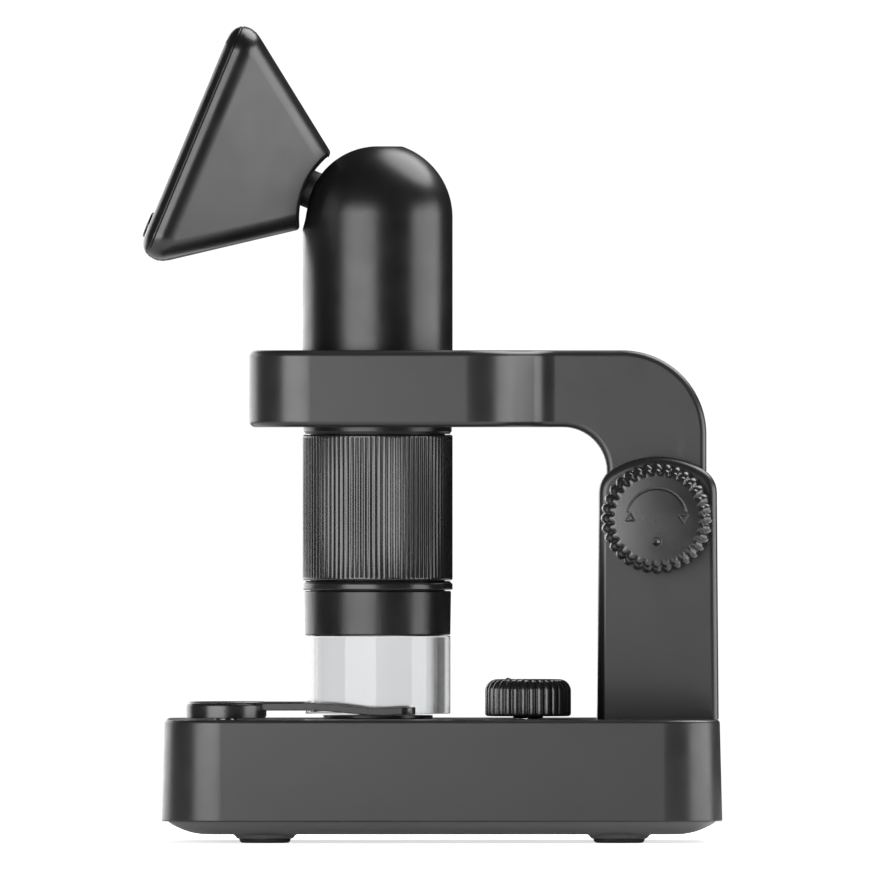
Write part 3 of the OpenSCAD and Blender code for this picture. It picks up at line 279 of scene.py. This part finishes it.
# Points nearer than the weld, in millimetres, are made one, and so are faces that meet at less than
# the flat angle. Edges over the sharp angle are filleted.
WELD = 0.002
FLAT_ANGLE = radians(0.5)
SHARP_ANGLE = radians(32)

# Fillet radius of each CAD node whose real moulding has one, in millimetres
FILLETS = {
    "base_housing": 0.25, "base_cover": 0.4, "barrel_shell": 0.2, "lens_skirt": 0.3,
    "stage_ring": 0.2, "trim_ring": 0.35, "clip_near": 0.2, "clip_far": 0.2, "foot_pads": 0.3,
    "display_bezel": 0.2, "screen_glass": 0.15, "battery_door": 0.25, "holder_liner": 0.3,
    "shaft_cap": 0.2, "power_button": 0.25, "display_neck": 0.15, "usb_port": 0.1,
}


def level_normals(piece):
    """Keeps flat faces flat in the light between their fillets."""
    normals = piece.modifiers.new("normals", "WEIGHTED_NORMAL")
    normals.keep_sharp = False


def round_edges(name, radius):
    """Fillets the sharp edges of a CAD node with modifiers. Its own mesh stays as it is."""
    node = nodes[name]
    node.data.polygons.foreach_set("use_smooth", [True] * len(node.data.polygons))
    weld = node.modifiers.new("weld", "WELD")
    weld.merge_threshold = WELD * MM
    flat = node.modifiers.new("planar", "DECIMATE")
    flat.decimate_type = "DISSOLVE"
    flat.angle_limit = FLAT_ANGLE
    bevel = node.modifiers.new("fillet", "BEVEL")
    bevel.width = radius * MM
    bevel.segments = 3
    bevel.limit_method = "ANGLE"
    bevel.angle_limit = SHARP_ANGLE
    bevel.use_clamp_overlap = False
    bevel.loop_slide = False
    bevel.harden_normals = False
    level_normals(node)


for name, radius in FILLETS.items():
    round_edges(name, radius)


# Tools for the detailed pieces, whose lengths are in millimetres

def add_piece(name, data, node, body):
    """A new piece that wears a node's material and slot, and rides on a body."""
    data.materials.append(look_of(node))
    piece = bpy.data.objects.new(name, data)
    bpy.context.scene.collection.objects.link(piece)
    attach(piece, body)
    return piece


def mesh_piece(name, points, faces, node, body, smooth=True):
    """A new piece from its points and faces."""
    data = bpy.data.meshes.new(name)
    data.from_pydata([tuple(p) for p in points], [], faces)
    data.validate()
    data.polygons.foreach_set("use_smooth", [smooth] * len(data.polygons))
    return add_piece(name, data, node, body)


# Below this, a difference between two lengths is a rounding error
HAIR = 0.000001


def corners(node):
    """Lowest and highest corner of a node."""
    low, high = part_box(node)
    return low / MM, high / MM


def centre(node):
    return sum(corners(node), Vector()) / 2


def radius_of(node):
    """Half of a node's size along x."""
    low, high = corners(node)
    return (high.x - low.x) / 2


def spaced(start, end, steps):
    """The values from start to end in equal steps, with both ends."""
    return [start + (end - start) * i / steps for i in range(steps + 1)]


def smooth_step(x):
    """Rises smoothly from 0 to 1 while x does, and stays level outside."""
    x = min(max(x, 0), 1)
    return x * x * (3 - 2 * x)


def band(first, after, segments):
    """The faces between two rings of points, given by the number of each ring's first point."""
    turns = [(k, (k + 1) % segments) for k in range(segments)]
    return [(first + k, first + beside, after + beside, after + k) for k, beside in turns]


def revolved(name, rings, segments, shape, place, node, body):
    """A closed solid of revolution, which replaces a node. rings are (radius, height) pairs from the axis
    back to the axis. shape(radius, height, angle) moves each point, and place(x, y, height) sets it."""
    points, faces = [], []
    for radius, height in rings[1:-1]:
        for k in range(segments):
            angle = 2 * pi * k / segments
            r, h = shape(radius, height, angle)
            points.append(place(r * cos(angle), r * sin(angle), h))
    last = len(points) - segments
    for first in range(0, last, segments):
        faces += band(first, first + segments, segments)
    for first, (radius, height) in ((0, rings[0]), (last, rings[-1])):
        tip = len(points)
        points.append(place(0, 0, shape(radius, height, 0)[1]))
        for k in range(segments):
            a, b = first + k, first + (k + 1) % segments
            faces.append((b, a, tip) if first == 0 else (a, b, tip))
    piece = mesh_piece(name, points, faces, node, body)
    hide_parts(node)


def lathed(name, profile, segments, node, body, depth_at=None):
    """A ring about a node's upright axis, from a closed profile of (radius, height) pairs.
    depth_at(radius, height, angle) cuts into it. The ring replaces the node."""
    low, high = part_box(node)
    middle = (low + high) / 2
    points, faces = [], []
    for r, h in profile:
        for k in range(segments):
            angle = 2 * pi * k / segments
            radius = r - (depth_at(r, h, angle) if depth_at else 0)
            points.append((middle.x + radius * cos(angle) * MM, middle.y + radius * sin(angle) * MM,
                           low.z + h * MM))
    for i in range(len(profile)):
        faces += band(i * segments, (i + 1) % len(profile) * segments, segments)
    piece = mesh_piece(name, points, faces, node, body)
    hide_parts(node)
    return piece


def rounded(r, h, edge, turn, steps=4):
    """Points of a quarter circle inside the corner at radius r and height h. It leaves an upright wall
    or meets one, as turn says: bottom_out, top_out, top_in or bottom_in."""
    out = 1 if turn.endswith("out") else -1
    top = 1 if turn.startswith("top") else -1
    arc = [(r - out * edge * (1 - cos(a)), h - top * edge * (1 - sin(a))) for a in spaced(0, pi / 2, steps)]
    return arc if turn in ("top_out", "bottom_in") else arc[::-1]


def filleted_copy(node, name, body, rounds):
    """A copy of a CAD node in which chosen sharp edges are rounded. Each round is a radius and a test
    of an edge's middle. The copy replaces the node."""
    mesh = bmesh.new()
    mesh.from_mesh(nodes[node].data)
    bmesh.ops.remove_doubles(mesh, verts=mesh.verts, dist=WELD * MM)
    bmesh.ops.dissolve_limit(mesh, angle_limit=FLAT_ANGLE, verts=mesh.verts, edges=mesh.edges)
    for radius, chosen in rounds:
        sharp = [edge for edge in mesh.edges if len(edge.link_faces) == 2
                 and edge.calc_face_angle() > SHARP_ANGLE
                 and chosen((edge.verts[0].co + edge.verts[1].co) / 2 / MM)]
        bmesh.ops.bevel(mesh, geom=sharp, offset=radius * MM, offset_type="OFFSET", segments=5,
                        profile=0.5, affect="EDGES", clamp_overlap=False, loop_slide=False)
    data = bpy.data.meshes.new(name)
    mesh.to_mesh(data)
    mesh.free()
    data.polygons.foreach_set("use_smooth", [True] * len(data.polygons))
    piece = add_piece(name, data, node, body)
    level_normals(piece)
    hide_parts(node)


# Castings and shell, with fillets on some edges only or of two radii

SHAFT = centre("pinion_shaft")
BARREL_AXIS = centre("holder_liner")

ARM_FILLET = 1.5
ARM_BORE_CLEAR = 0.3
ARM_INSIDE = 1


def arm_casting():
    """The arm, rounded outside. The holder's bore, the hollow leg and the leg's foot stay sharp."""
    low, high = corners("arm_frame")
    bore = radius_of("holder_liner") + ARM_BORE_CLEAR
    leg_top = corners("holder_liner")[0].z - ARM_INSIDE
    leg_half = high.x - SHAFT.x - ARM_INSIDE

    def outside(p):
        in_bore = hypot(p.x - BARREL_AXIS.x, p.y) < bore
        in_leg = p.z < leg_top and abs(p.x - SHAFT.x) < leg_half
        return not in_bore and not in_leg and p.z > low.z + ARM_INSIDE

    filleted_copy("arm_frame", "arm_casting", "arm", [(ARM_FILLET, outside)])


COLUMN_FILLET = 1.8
SLOT_FILLET = 0.5
COLUMN_FOOT = 0.5
COLUMN_SKIN = 0.1
COLUMN_WALL = 2.5
BUSH_CLEAR = 6


def column_casting():
    """The column, rounded on its two side faces and round the slot that the arm leaves by."""
    low, high = corners("column")

    def clear(p):
        return p.z > low.z + COLUMN_FOOT and hypot(p.x - SHAFT.x, p.z - SHAFT.z) > BUSH_CLEAR

    def on_face(p):
        return clear(p) and abs(p.y) > high.y - COLUMN_SKIN

    def on_slot(p):
        return clear(p) and p.z > SHAFT.z and abs(p.y) < high.y - COLUMN_WALL

    filleted_copy("column", "column_casting", "stand", [(COLUMN_FILLET, on_face), (SLOT_FILLET, on_slot)])


RIM_FILLET = 0.9
SHELL_FILLET = 0.2
HOLLOW_GAP = 0.8
HOLLOW_BAND = 0.75
NECK_CLEAR = 6


def display_back():
    """The head's rear shell, rounded where its flanks meet the hollow that clears the dome."""
    barrel_high = corners("barrel_shell")[1]
    hollow = radius_of("barrel_shell") + HOLLOW_GAP
    dome = Vector((BARREL_AXIS.x, 0, barrel_high.z - radius_of("barrel_shell")))
    outwards = (centre("screen_glass") - dome).normalized()

    def on_rim(p):
        gap = p - dome
        beside = (gap - outwards * gap.dot(outwards)).length
        return abs(hypot(gap.x, gap.z) - hollow) < HOLLOW_BAND and beside > NECK_CLEAR

    def elsewhere(p):
        return not on_rim(p)

    filleted_copy("display_rear_shell", "display_back", "display",
                  [(RIM_FILLET, on_rim), (SHELL_FILLET, elsewhere)])


# Knobs, with lobes round the rim that meet in sharp valleys

LOBE_POWER = 0.65
POINTS_PER_LOBE = 14


def lobe(angle, count):
    """0 on the crest of a lobe and 1 in the sharp valley between two lobes."""
    return 1 - abs(cos(count * angle / 2)) ** LOBE_POWER


# The focus knob's rim: lobes whose valleys run out on the face, a round edge, and a waist in it
KNOB_LOBES = 32
KNOB_LOBE_DEPTH = 0.85
KNOB_FLUTE_LEAD = 0.2
KNOB_FLUTE_RISE = 1.1
KNOB_EDGE = 3.1
KNOB_CROWN = 0.3
KNOB_WAIST_AT = 1.9
KNOB_WAIST_HALF = 0.6
KNOB_WAIST_DEPTH = 0.35

# The knob's back edge, in from the rim: where its flat ends, a small step, and a round up to the wall
BACK_FLAT = 1.6
BACK_STEP = 0.9
BACK_STEP_HEIGHT = 0.05
BACK_ROUND = 0.4
BACK_ROUND_HEIGHT = 0.45
BACK_ROUND_FROM = 0.3
BACK_TOP = 0.5
WALL_FROM = 1

# The engraving in the knob's face: an arc, a triangle at each of its ends, and a round pip. Each mark
# has a place, and 1 to point up or -1 to point down.
ARC_R = 6.7
ARC_HALF = 0.26
ARC_FROM = radians(13.6)
ARC_TO = radians(166.4)
ARC_DEPTH = 0.22
MARKS = ((-5.9, 0.1, 1), (5.9, 0.1, -1))
MARK_HALF = 0.95
MARK_FOOT_SHARE = 0.6
MARK_TIP_SHARE = 1.1
MARK_LINE = 0.24
MARK_DEPTH = 0.2
KNOB_PIP = (0, -5.2)
KNOB_PIP_R = 0.95
KNOB_PIP_DEPTH = 0.5


def triangle_distance(x, z, cx, cz, direction):
    """Distance from the outline of a small triangle that points up or down."""
    foot = cz - direction * MARK_HALF * MARK_FOOT_SHARE
    tip = cz + direction * MARK_HALF * MARK_TIP_SHARE
    turns = [(cx - MARK_HALF, foot), (cx + MARK_HALF, foot), (cx, tip)]
    gaps = []
    for (x0, z0), (x1, z1) in zip(turns, turns[1:] + turns[:1]):
        dx, dz = x1 - x0, z1 - z0
        t = min(max(((x - x0) * dx + (z - z0) * dz) / (dx * dx + dz * dz), 0), 1)
        gaps.append(hypot(x - x0 - t * dx, z - z0 - t * dz))
    return min(gaps)


def knob_relief(x, z):
    """Depth of the engraving in the focus knob's face."""
    along = min(max(atan2(z, x), ARC_FROM), ARC_TO)
    gap = hypot(x - ARC_R * cos(along), z - ARC_R * sin(along))
    depth = ARC_DEPTH * (1 - smooth_step(gap / ARC_HALF))
    for mark in MARKS:
        gap = triangle_distance(x, z, *mark)
        depth = max(depth, MARK_DEPTH * (1 - smooth_step(gap / MARK_LINE)))
    gap = hypot(x - KNOB_PIP[0], z - KNOB_PIP[1]) / KNOB_PIP_R
    if gap < 1:
        depth = max(depth, KNOB_PIP_DEPTH * sqrt(1 - gap * gap))
    return depth


def focus_knob():
    """The focus knob: a scalloped rim with a shallow waist, and a crowned, engraved face."""
    low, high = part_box("focus_knob")
    middle = (low + high) / 2
    outer = (high.x - low.x) / 2 / MM
    face = outer - KNOB_EDGE
    top = (high.y - low.y) / MM - KNOB_CROWN
    rings = [(0, 0), (outer - BACK_FLAT, 0), (outer - BACK_STEP, BACK_STEP_HEIGHT)]
    rings += [(outer - BACK_ROUND + BACK_ROUND * sin(a), BACK_TOP - BACK_ROUND_HEIGHT * cos(a))
              for a in spaced(BACK_ROUND_FROM, pi / 2, 4)]
    rings += [(outer, h) for h in spaced(WALL_FROM, top - KNOB_EDGE, 6)]
    rings += [(face + KNOB_EDGE * cos(a), top - KNOB_EDGE * (1 - sin(a))) for a in spaced(0, pi / 2, 14)[1:]]
    rings += [(r, top) for r in spaced(face, 0, 86)[1:]]

    def shape(r, h, angle):
        if h < top - HAIR or r > face:
            flute = lobe(angle, KNOB_LOBES) * smooth_step((r - face + KNOB_FLUTE_LEAD) / KNOB_FLUTE_RISE)
            waist = smooth_step(1 - abs(r - face - KNOB_WAIST_AT) / KNOB_WAIST_HALF)
            cut = KNOB_LOBE_DEPTH * flute + KNOB_WAIST_DEPTH * waist
            return r - cut, h - cut * (face + KNOB_EDGE - r) / KNOB_EDGE / 2
        crown = KNOB_CROWN * (1 - (r / face) ** 2)
        return r, h + crown - knob_relief(r * cos(angle), r * sin(angle))

    def place(x, z, h):
        return (middle.x + x * MM, high.y - h * MM, middle.z + z * MM)

    segments = KNOB_LOBES * POINTS_PER_LOBE
    revolved("focus_knob_grip", rings, segments, shape, place, "focus_knob", "focus_drive")


# The dimmer knob: lobes, a round edge, a foot under the rim, a hub, and a pip on its face
DIMMER_LOBES = 30
DIMMER_LOBE_DEPTH = 0.7
DIMMER_FLUTE_LEAD = 0.6
DIMMER_FLUTE_RISE = 1.5
DIMMER_EDGE = 2.7
DIMMER_FOOT = 0.7
DIMMER_FOOT_FLAT = 1
DIMMER_HUB = 3.4
DIMMER_HUB_CLEAR = 1
DIMMER_LIFT = 0.45
DIMMER_PIP_AT = -4.5
DIMMER_PIP_R = 1
DIMMER_PIP_RISE = 0.35


def dimmer_knob():
    """The dimmer knob: a fluted rim lifted off the base by a hub, and a raised pip."""
    low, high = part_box("dimmer_knob")
    middle = (low + high) / 2
    outer = (high.x - low.x) / 2 / MM
    top = (high.z - low.z) / MM - DIMMER_PIP_RISE
    foot_in = outer - DIMMER_FOOT
    rings = [(0, 0), (DIMMER_HUB, 0), (DIMMER_HUB, DIMMER_LIFT), (foot_in - DIMMER_FOOT_FLAT, DIMMER_LIFT)]
    rings += [(foot_in + DIMMER_FOOT * sin(a), DIMMER_LIFT + DIMMER_FOOT * (1 - cos(a)))
              for a in spaced(0, pi / 2, 6)]
    rings += [(outer, h) for h in spaced(DIMMER_LIFT + DIMMER_FOOT, top - DIMMER_EDGE, 4)[1:]]
    rings += [(outer - DIMMER_EDGE * (1 - cos(a)), top - DIMMER_EDGE * (1 - sin(a)))
              for a in spaced(0, pi / 2, 14)[1:]]
    rings += [(r, top) for r in spaced(outer - DIMMER_EDGE, 0, 60)[1:]]

    def shape(r, h, angle):
        cut = raised = 0
        if h > DIMMER_LIFT - HAIR and r > DIMMER_HUB + DIMMER_HUB_CLEAR:
            rim = smooth_step((r - outer + DIMMER_EDGE + DIMMER_FLUTE_LEAD) / DIMMER_FLUTE_RISE)
            cut = DIMMER_LOBE_DEPTH * lobe(angle, DIMMER_LOBES) * rim
        if h > top - HAIR:
            gap = hypot(r * cos(angle) - DIMMER_PIP_AT, r * sin(angle)) / DIMMER_PIP_R
            raised = DIMMER_PIP_RISE * (1 - smooth_step(gap))
        return r - cut, h + raised

    def place(x, y, h):
        return (middle.x + x * MM, middle.y + y * MM, low.z + h * MM)

    segments = DIMMER_LOBES * POINTS_PER_LOBE
    revolved("dimmer_knob_grip", rings, segments, shape, place, "dimmer_knob", "dimmer")


# Focus ring and clear cover

RING_RIBS = 90
RING_RIB_DEPTH = 0.2
RING_CHAMFER = 0.45
RING_LAND = 0.35
RING_WALL = 1.2
POINTS_PER_RIB = 8


def focus_ring():
    """The focus ring, with fine upright ribs between two plain lands."""
    low, high = corners("focus_ring")
    outer = radius_of("focus_ring")
    height = high.z - low.z
    ribs_from = RING_CHAMFER + RING_LAND
    ribs_to = height - ribs_from
    profile = [(outer - RING_WALL, 0)] + rounded(outer, 0, RING_CHAMFER, "bottom_out")
    profile += [(outer, h) for h in spaced(ribs_from, ribs_to, 3)]
    profile += rounded(outer, height, RING_CHAMFER, "top_out") + [(outer - RING_WALL, height)]

    def ribs(r, h, angle):
        ribbed = r > outer - HAIR and ribs_from - HAIR < h < ribs_to + HAIR
        return RING_RIB_DEPTH * (1 - cos(RING_RIBS * angle)) / 2 if ribbed else 0

    lathed("focus_ring_ribbed", profile, RING_RIBS * POINTS_PER_RIB, "focus_ring", "ring", ribs)


HOOD_WALL = 2.9
HOOD_SPIGOT_WALL = 1.2
HOOD_EDGE = 0.3
HOOD_GAP = 0.15
HOOD_STRIP = 0.4
HOOD_POINTS = 256


def clear_hood():
    """The clear cover: a thick tube with polished rims, and the spigot that plugs into the chassis.
    A narrow strip of wall beside each rim keeps the rim's rounding out of the wall's shading."""
    low, high = corners("clear_cover")
    outer = radius_of("clear_cover")
    inner = outer - HOOD_WALL
    spigot = radius_of("chassis_tube")
    bore = spigot - HOOD_SPIGOT_WALL
    rim = corners("lens_skirt")[0].z - low.z - HOOD_GAP
    top = high.z - low.z
    wall = spaced(HOOD_STRIP, rim - HOOD_STRIP, 3)
    profile = rounded(inner, 0, HOOD_EDGE, "bottom_in") + rounded(outer, 0, HOOD_EDGE, "bottom_out")
    profile += [(outer, h) for h in wall] + rounded(outer, rim, HOOD_EDGE, "top_out")
    profile += [(spigot, rim), (spigot, top), (bore, top), (bore, rim)]
    profile += rounded(inner, rim, HOOD_EDGE, "top_in") + [(inner, h) for h in reversed(wall)]
    hood = lathed("clear_hood", profile, HOOD_POINTS, "clear_cover", "handheld")
    level_normals(hood)


# Print on the display head. It faces along the axis that it swivels about.

HEAD_OUT = Vector(next(joint["axis"] for joint in frame["joints"] if joint["name"] == "display_swivel"))
HEAD_UP = Vector((HEAD_OUT.z, 0, -HEAD_OUT.x))
PRINT_PROUD = 0.015
PRINT_SUNK = 0.02
BAR_HALF_LENGTH = 1.2
BAR_HALF_WIDTH = 0.16
BAR_STEP = 0.75
ARROW_HALF = 1.15
OK_OUTER = 1.05
OK_INNER = 0.72
OK_SECTORS = 24


def bar(up):
    """A level bar, at that height on the key."""
    end, low, high = BAR_HALF_LENGTH, up - BAR_HALF_WIDTH, up + BAR_HALF_WIDTH
    return [(-end, low), (end, low), (end, high), (-end, high)]


def arrow(direction):
    """A triangle that points up for 1 and down for -1."""
    tip = direction * ARROW_HALF
    ring = [(-ARROW_HALF, -tip / 2), (ARROW_HALF, -tip / 2), (0, tip)]
    return ring if direction > 0 else ring[::-1]


def ok_ring():
    """A ring, as the convex sectors between its two circles."""
    turn = spaced(0, 2 * pi, OK_SECTORS)
    return [[(OK_OUTER * cos(a), OK_OUTER * sin(a)), (OK_OUTER * cos(b), OK_OUTER * sin(b)),
             (OK_INNER * cos(b), OK_INNER * sin(b)), (OK_INNER * cos(a), OK_INNER * sin(a))]
            for a, b in zip(turn, turn[1:])]


def key_icon(node, body, outlines):
    """A symbol printed on a key. Each outline is a convex ring of (across, up) points."""
    key_points = [v.co / MM for v in nodes[node].data.vertices]
    ups = [p.dot(HEAD_UP) for p in key_points]
    middle = centre(node)
    middle += HEAD_OUT * (max(p.dot(HEAD_OUT) for p in key_points) - middle.dot(HEAD_OUT))
    middle += HEAD_UP * ((min(ups) + max(ups)) / 2 - middle.dot(HEAD_UP))
    points, faces = [], []
    for outline in outlines:
        first, count = len(points), len(outline)
        for height in (-PRINT_SUNK, PRINT_PROUD):
            for across, up in outline:
                spot = middle + Vector((0, -across, 0)) + HEAD_UP * up + HEAD_OUT * height
                points.append(spot * MM)
        faces.append([first + count + i for i in range(count)])
        faces.append([first + count - 1 - i for i in range(count)])
        faces += band(first, first + count, count)
    piece = mesh_piece(node + "_print", points, faces, node, body, smooth=False)
    piece.data.materials[0] = MATERIALS["white_print"]


MASK_BORDER = 4.3
MASK_BLACK = (0.004, 0.004, 0.004, 1)

# A mix node has sockets for numbers, vectors and colours, and these are the ones for colours
MIX_FIRST, MIX_SECOND, MIX_RESULT = 6, 7, 2


def screen_mask():
    """The black border printed behind the screen's glass, round the panel's picture."""
    low, high = corners("screen_glass")
    ups = [v.co.dot(HEAD_UP) for v in nodes["screen_glass"].data.vertices]
    tree = MATERIALS["glass"].node_tree
    shader = tree.nodes["Principled BSDF"]
    place = object_coordinates(tree)
    along = tree.nodes.new("ShaderNodeVectorMath")
    along.operation = "DOT_PRODUCT"
    along.inputs[1].default_value = HEAD_UP
    tree.links.new(place, along.inputs[0])
    split = tree.nodes.new("ShaderNodeSeparateXYZ")
    tree.links.new(place, split.inputs["Vector"])
    spans = [(along.outputs["Value"], (min(ups) + max(ups)) / 2, (max(ups) - min(ups)) / 2),
             (split.outputs["Y"], 0, (high.y - low.y) / 2 * MM)]
    inside = [computed(tree, "COMPARE", computed(tree, "SUBTRACT", value, middle), 0, half - MASK_BORDER * MM)
              for value, middle, half in spans]
    clear = computed(tree, "MULTIPLY", *inside)
    tree.links.new(clear, shader.inputs["Transmission Weight"])
    tint = shader.inputs["Base Color"].links[0].from_socket
    mask = tree.nodes.new("ShaderNodeMix")
    mask.data_type = "RGBA"
    mask.inputs[MIX_FIRST].default_value = MASK_BLACK
    tree.links.new(tint, mask.inputs[MIX_SECOND])
    tree.links.new(clear, mask.inputs["Factor"])
    tree.links.new(mask.outputs[MIX_RESULT], shader.inputs["Base Color"])


screen_mask()
key_icon("key_menu", "menu_key", [bar(-BAR_STEP), bar(0), bar(BAR_STEP)])
key_icon("key_down", "down_key", [arrow(-1)])
key_icon("key_up", "up_key", [arrow(1)])
key_icon("key_ok", "ok_key", ok_ring())
arm_casting()
column_casting()
display_back()
focus_knob()
dimmer_knob()
focus_ring()
clear_hood()


# Stage, light and camera

# The photograph's width and its middle, in the part's frame
PHOTO_WIDTH = 197.2 * MM
PHOTO_MIDDLE = Vector((0.41, 0, 92.14)) * MM

CAMERA_DISTANCE = 8
CAMERA_REACH = 20
SENSOR_WIDTH = 36
LIGHT_TARGET = Vector((0, 0, 0.09))
LIGHT_DISTANCE = 1.6
FLOOR_HALF = 0.3
FLOOR_WHITE = (0.86, 0.86, 0.86)

# Watts per square metre of soft box for a strength of 1
BOX_WATTS = 4 * pi

# How brightly each kind of ray sees the floor and the world. All rays get the world's least share.
FLOOR_GLOW = (("Is Camera Ray", 0.7), ("Is Transmission Ray", 0.7), ("Is Glossy Ray", 0.12))
WORLD_GLOW = (("Is Camera Ray", 1), ("Is Transmission Ray", 0.96), ("Is Diffuse Ray", 0.4))
WORLD_LEAST = 0.04

# The world darkens to the right, while the direction's x rises from the first value to the second
DARK_FROM, DARK_TO = 0.22, 0.4
DARK_SHARE = 0.16


def make_camera():
    data = bpy.data.cameras.new("camera")
    data.sensor_width = SENSOR_WIDTH
    data.lens = SENSOR_WIDTH * CAMERA_DISTANCE / PHOTO_WIDTH
    data.clip_end = CAMERA_REACH
    camera = bpy.data.objects.new("camera", data)
    camera.location = PHOTO_MIDDLE - Vector((0, CAMERA_DISTANCE, 0))
    camera.rotation_euler = (pi / 2, 0, 0)
    bpy.context.scene.collection.objects.link(camera)
    bpy.context.scene.camera = camera


def soft_box(name, azimuth, elevation, width, height, strength, shape="RECTANGLE"):
    """A soft box that faces the object. Azimuth 0 is beside the camera and 90 on the right."""
    data = bpy.data.lights.new(name, "AREA")
    data.shape = shape
    data.size = width
    data.size_y = height
    data.energy = strength * BOX_WATTS * width * height
    light = bpy.data.objects.new(name, data)
    a, e = radians(azimuth), radians(elevation)
    direction = Vector((sin(a) * cos(e), -cos(a) * cos(e), sin(e)))
    light.location = LIGHT_TARGET + direction * LIGHT_DISTANCE
    light.rotation_mode = "QUATERNION"
    light.rotation_quaternion = direction.to_track_quat("Z", "Y")
    light.visible_camera = False
    light.visible_transmission = False
    bpy.context.scene.collection.objects.link(light)


def ray_strength(tree, shares, least=0):
    """A strength for each kind of ray, over the least that all rays get."""
    path = tree.nodes.new("ShaderNodeLightPath")
    strength = least
    for ray, share in shares:
        seen = computed(tree, "MULTIPLY_ADD", path.outputs[ray], share, least)
        strength = computed(tree, "MAXIMUM", strength, seen)
    return strength


def make_floor():
    data = bpy.data.meshes.new("floor")
    square = [(x * FLOOR_HALF, y * FLOOR_HALF, 0) for x, y in ((-1, -1), (1, -1), (1, 1), (-1, 1))]
    data.from_pydata(square, [], [(0, 1, 2, 3)])
    floor = bpy.data.objects.new("floor", data)
    bpy.context.scene.collection.objects.link(floor)
    material, tree, shader = new_material("floor")
    tint = blended(tree, noise(tree, scale=3), FLOOR_WHITE, share=0.02)
    tree.links.new(tint, shader.inputs["Base Color"])
    shader.inputs["Roughness"].default_value = 0.9
    shader.inputs["Specular IOR Level"].default_value = 0
    shader.inputs["Emission Color"].default_value = (1, 1, 1, 1)
    tree.links.new(ray_strength(tree, FLOOR_GLOW), shader.inputs["Emission Strength"])
    data.materials.append(material)


def make_world():
    """White behind the object and in glass, a soft grey light from all round, and a dim surround in gloss.
    For all but camera rays the right side is darker, which draws the right wall of the clear cover."""
    world = bpy.data.worlds.new("world")
    bpy.context.scene.world = world
    world.use_nodes = True
    tree = world.node_tree
    tree.nodes.clear()
    direction = tree.nodes.new("ShaderNodeTexCoord").outputs["Generated"]
    split = tree.nodes.new("ShaderNodeSeparateXYZ")
    tree.links.new(direction, split.inputs["Vector"])
    side = ranged(tree, split.outputs["X"], low=1, high=DARK_SHARE, start=DARK_FROM, end=DARK_TO)
    camera_ray = tree.nodes.new("ShaderNodeLightPath").outputs["Is Camera Ray"]
    seen = computed(tree, "MAXIMUM", side, camera_ray)
    strength = computed(tree, "MULTIPLY", ray_strength(tree, WORLD_GLOW, WORLD_LEAST), seen)
    background = tree.nodes.new("ShaderNodeBackground")
    background.inputs["Color"].default_value = (1, 1, 1, 1)
    tree.links.new(strength, background.inputs["Strength"])
    output = tree.nodes.new("ShaderNodeOutputWorld")
    tree.links.new(background.outputs["Background"], output.inputs["Surface"])


make_camera()
make_floor()
make_world()
soft_box("left_box", azimuth=-28, elevation=-1, width=1.5, height=1.0, strength=1.32)
soft_box("right_box", azimuth=82, elevation=-9, width=1.6, height=1.5, strength=1.05)
soft_box("rim_box", azimuth=-148, elevation=8, width=1.7, height=0.9, strength=0.66)
soft_box("top_box", azimuth=124, elevation=55, width=1.6, height=1.45, strength=1.05, shape="ELLIPSE")
bpy.context.scene.view_settings.view_transform = "Standard"
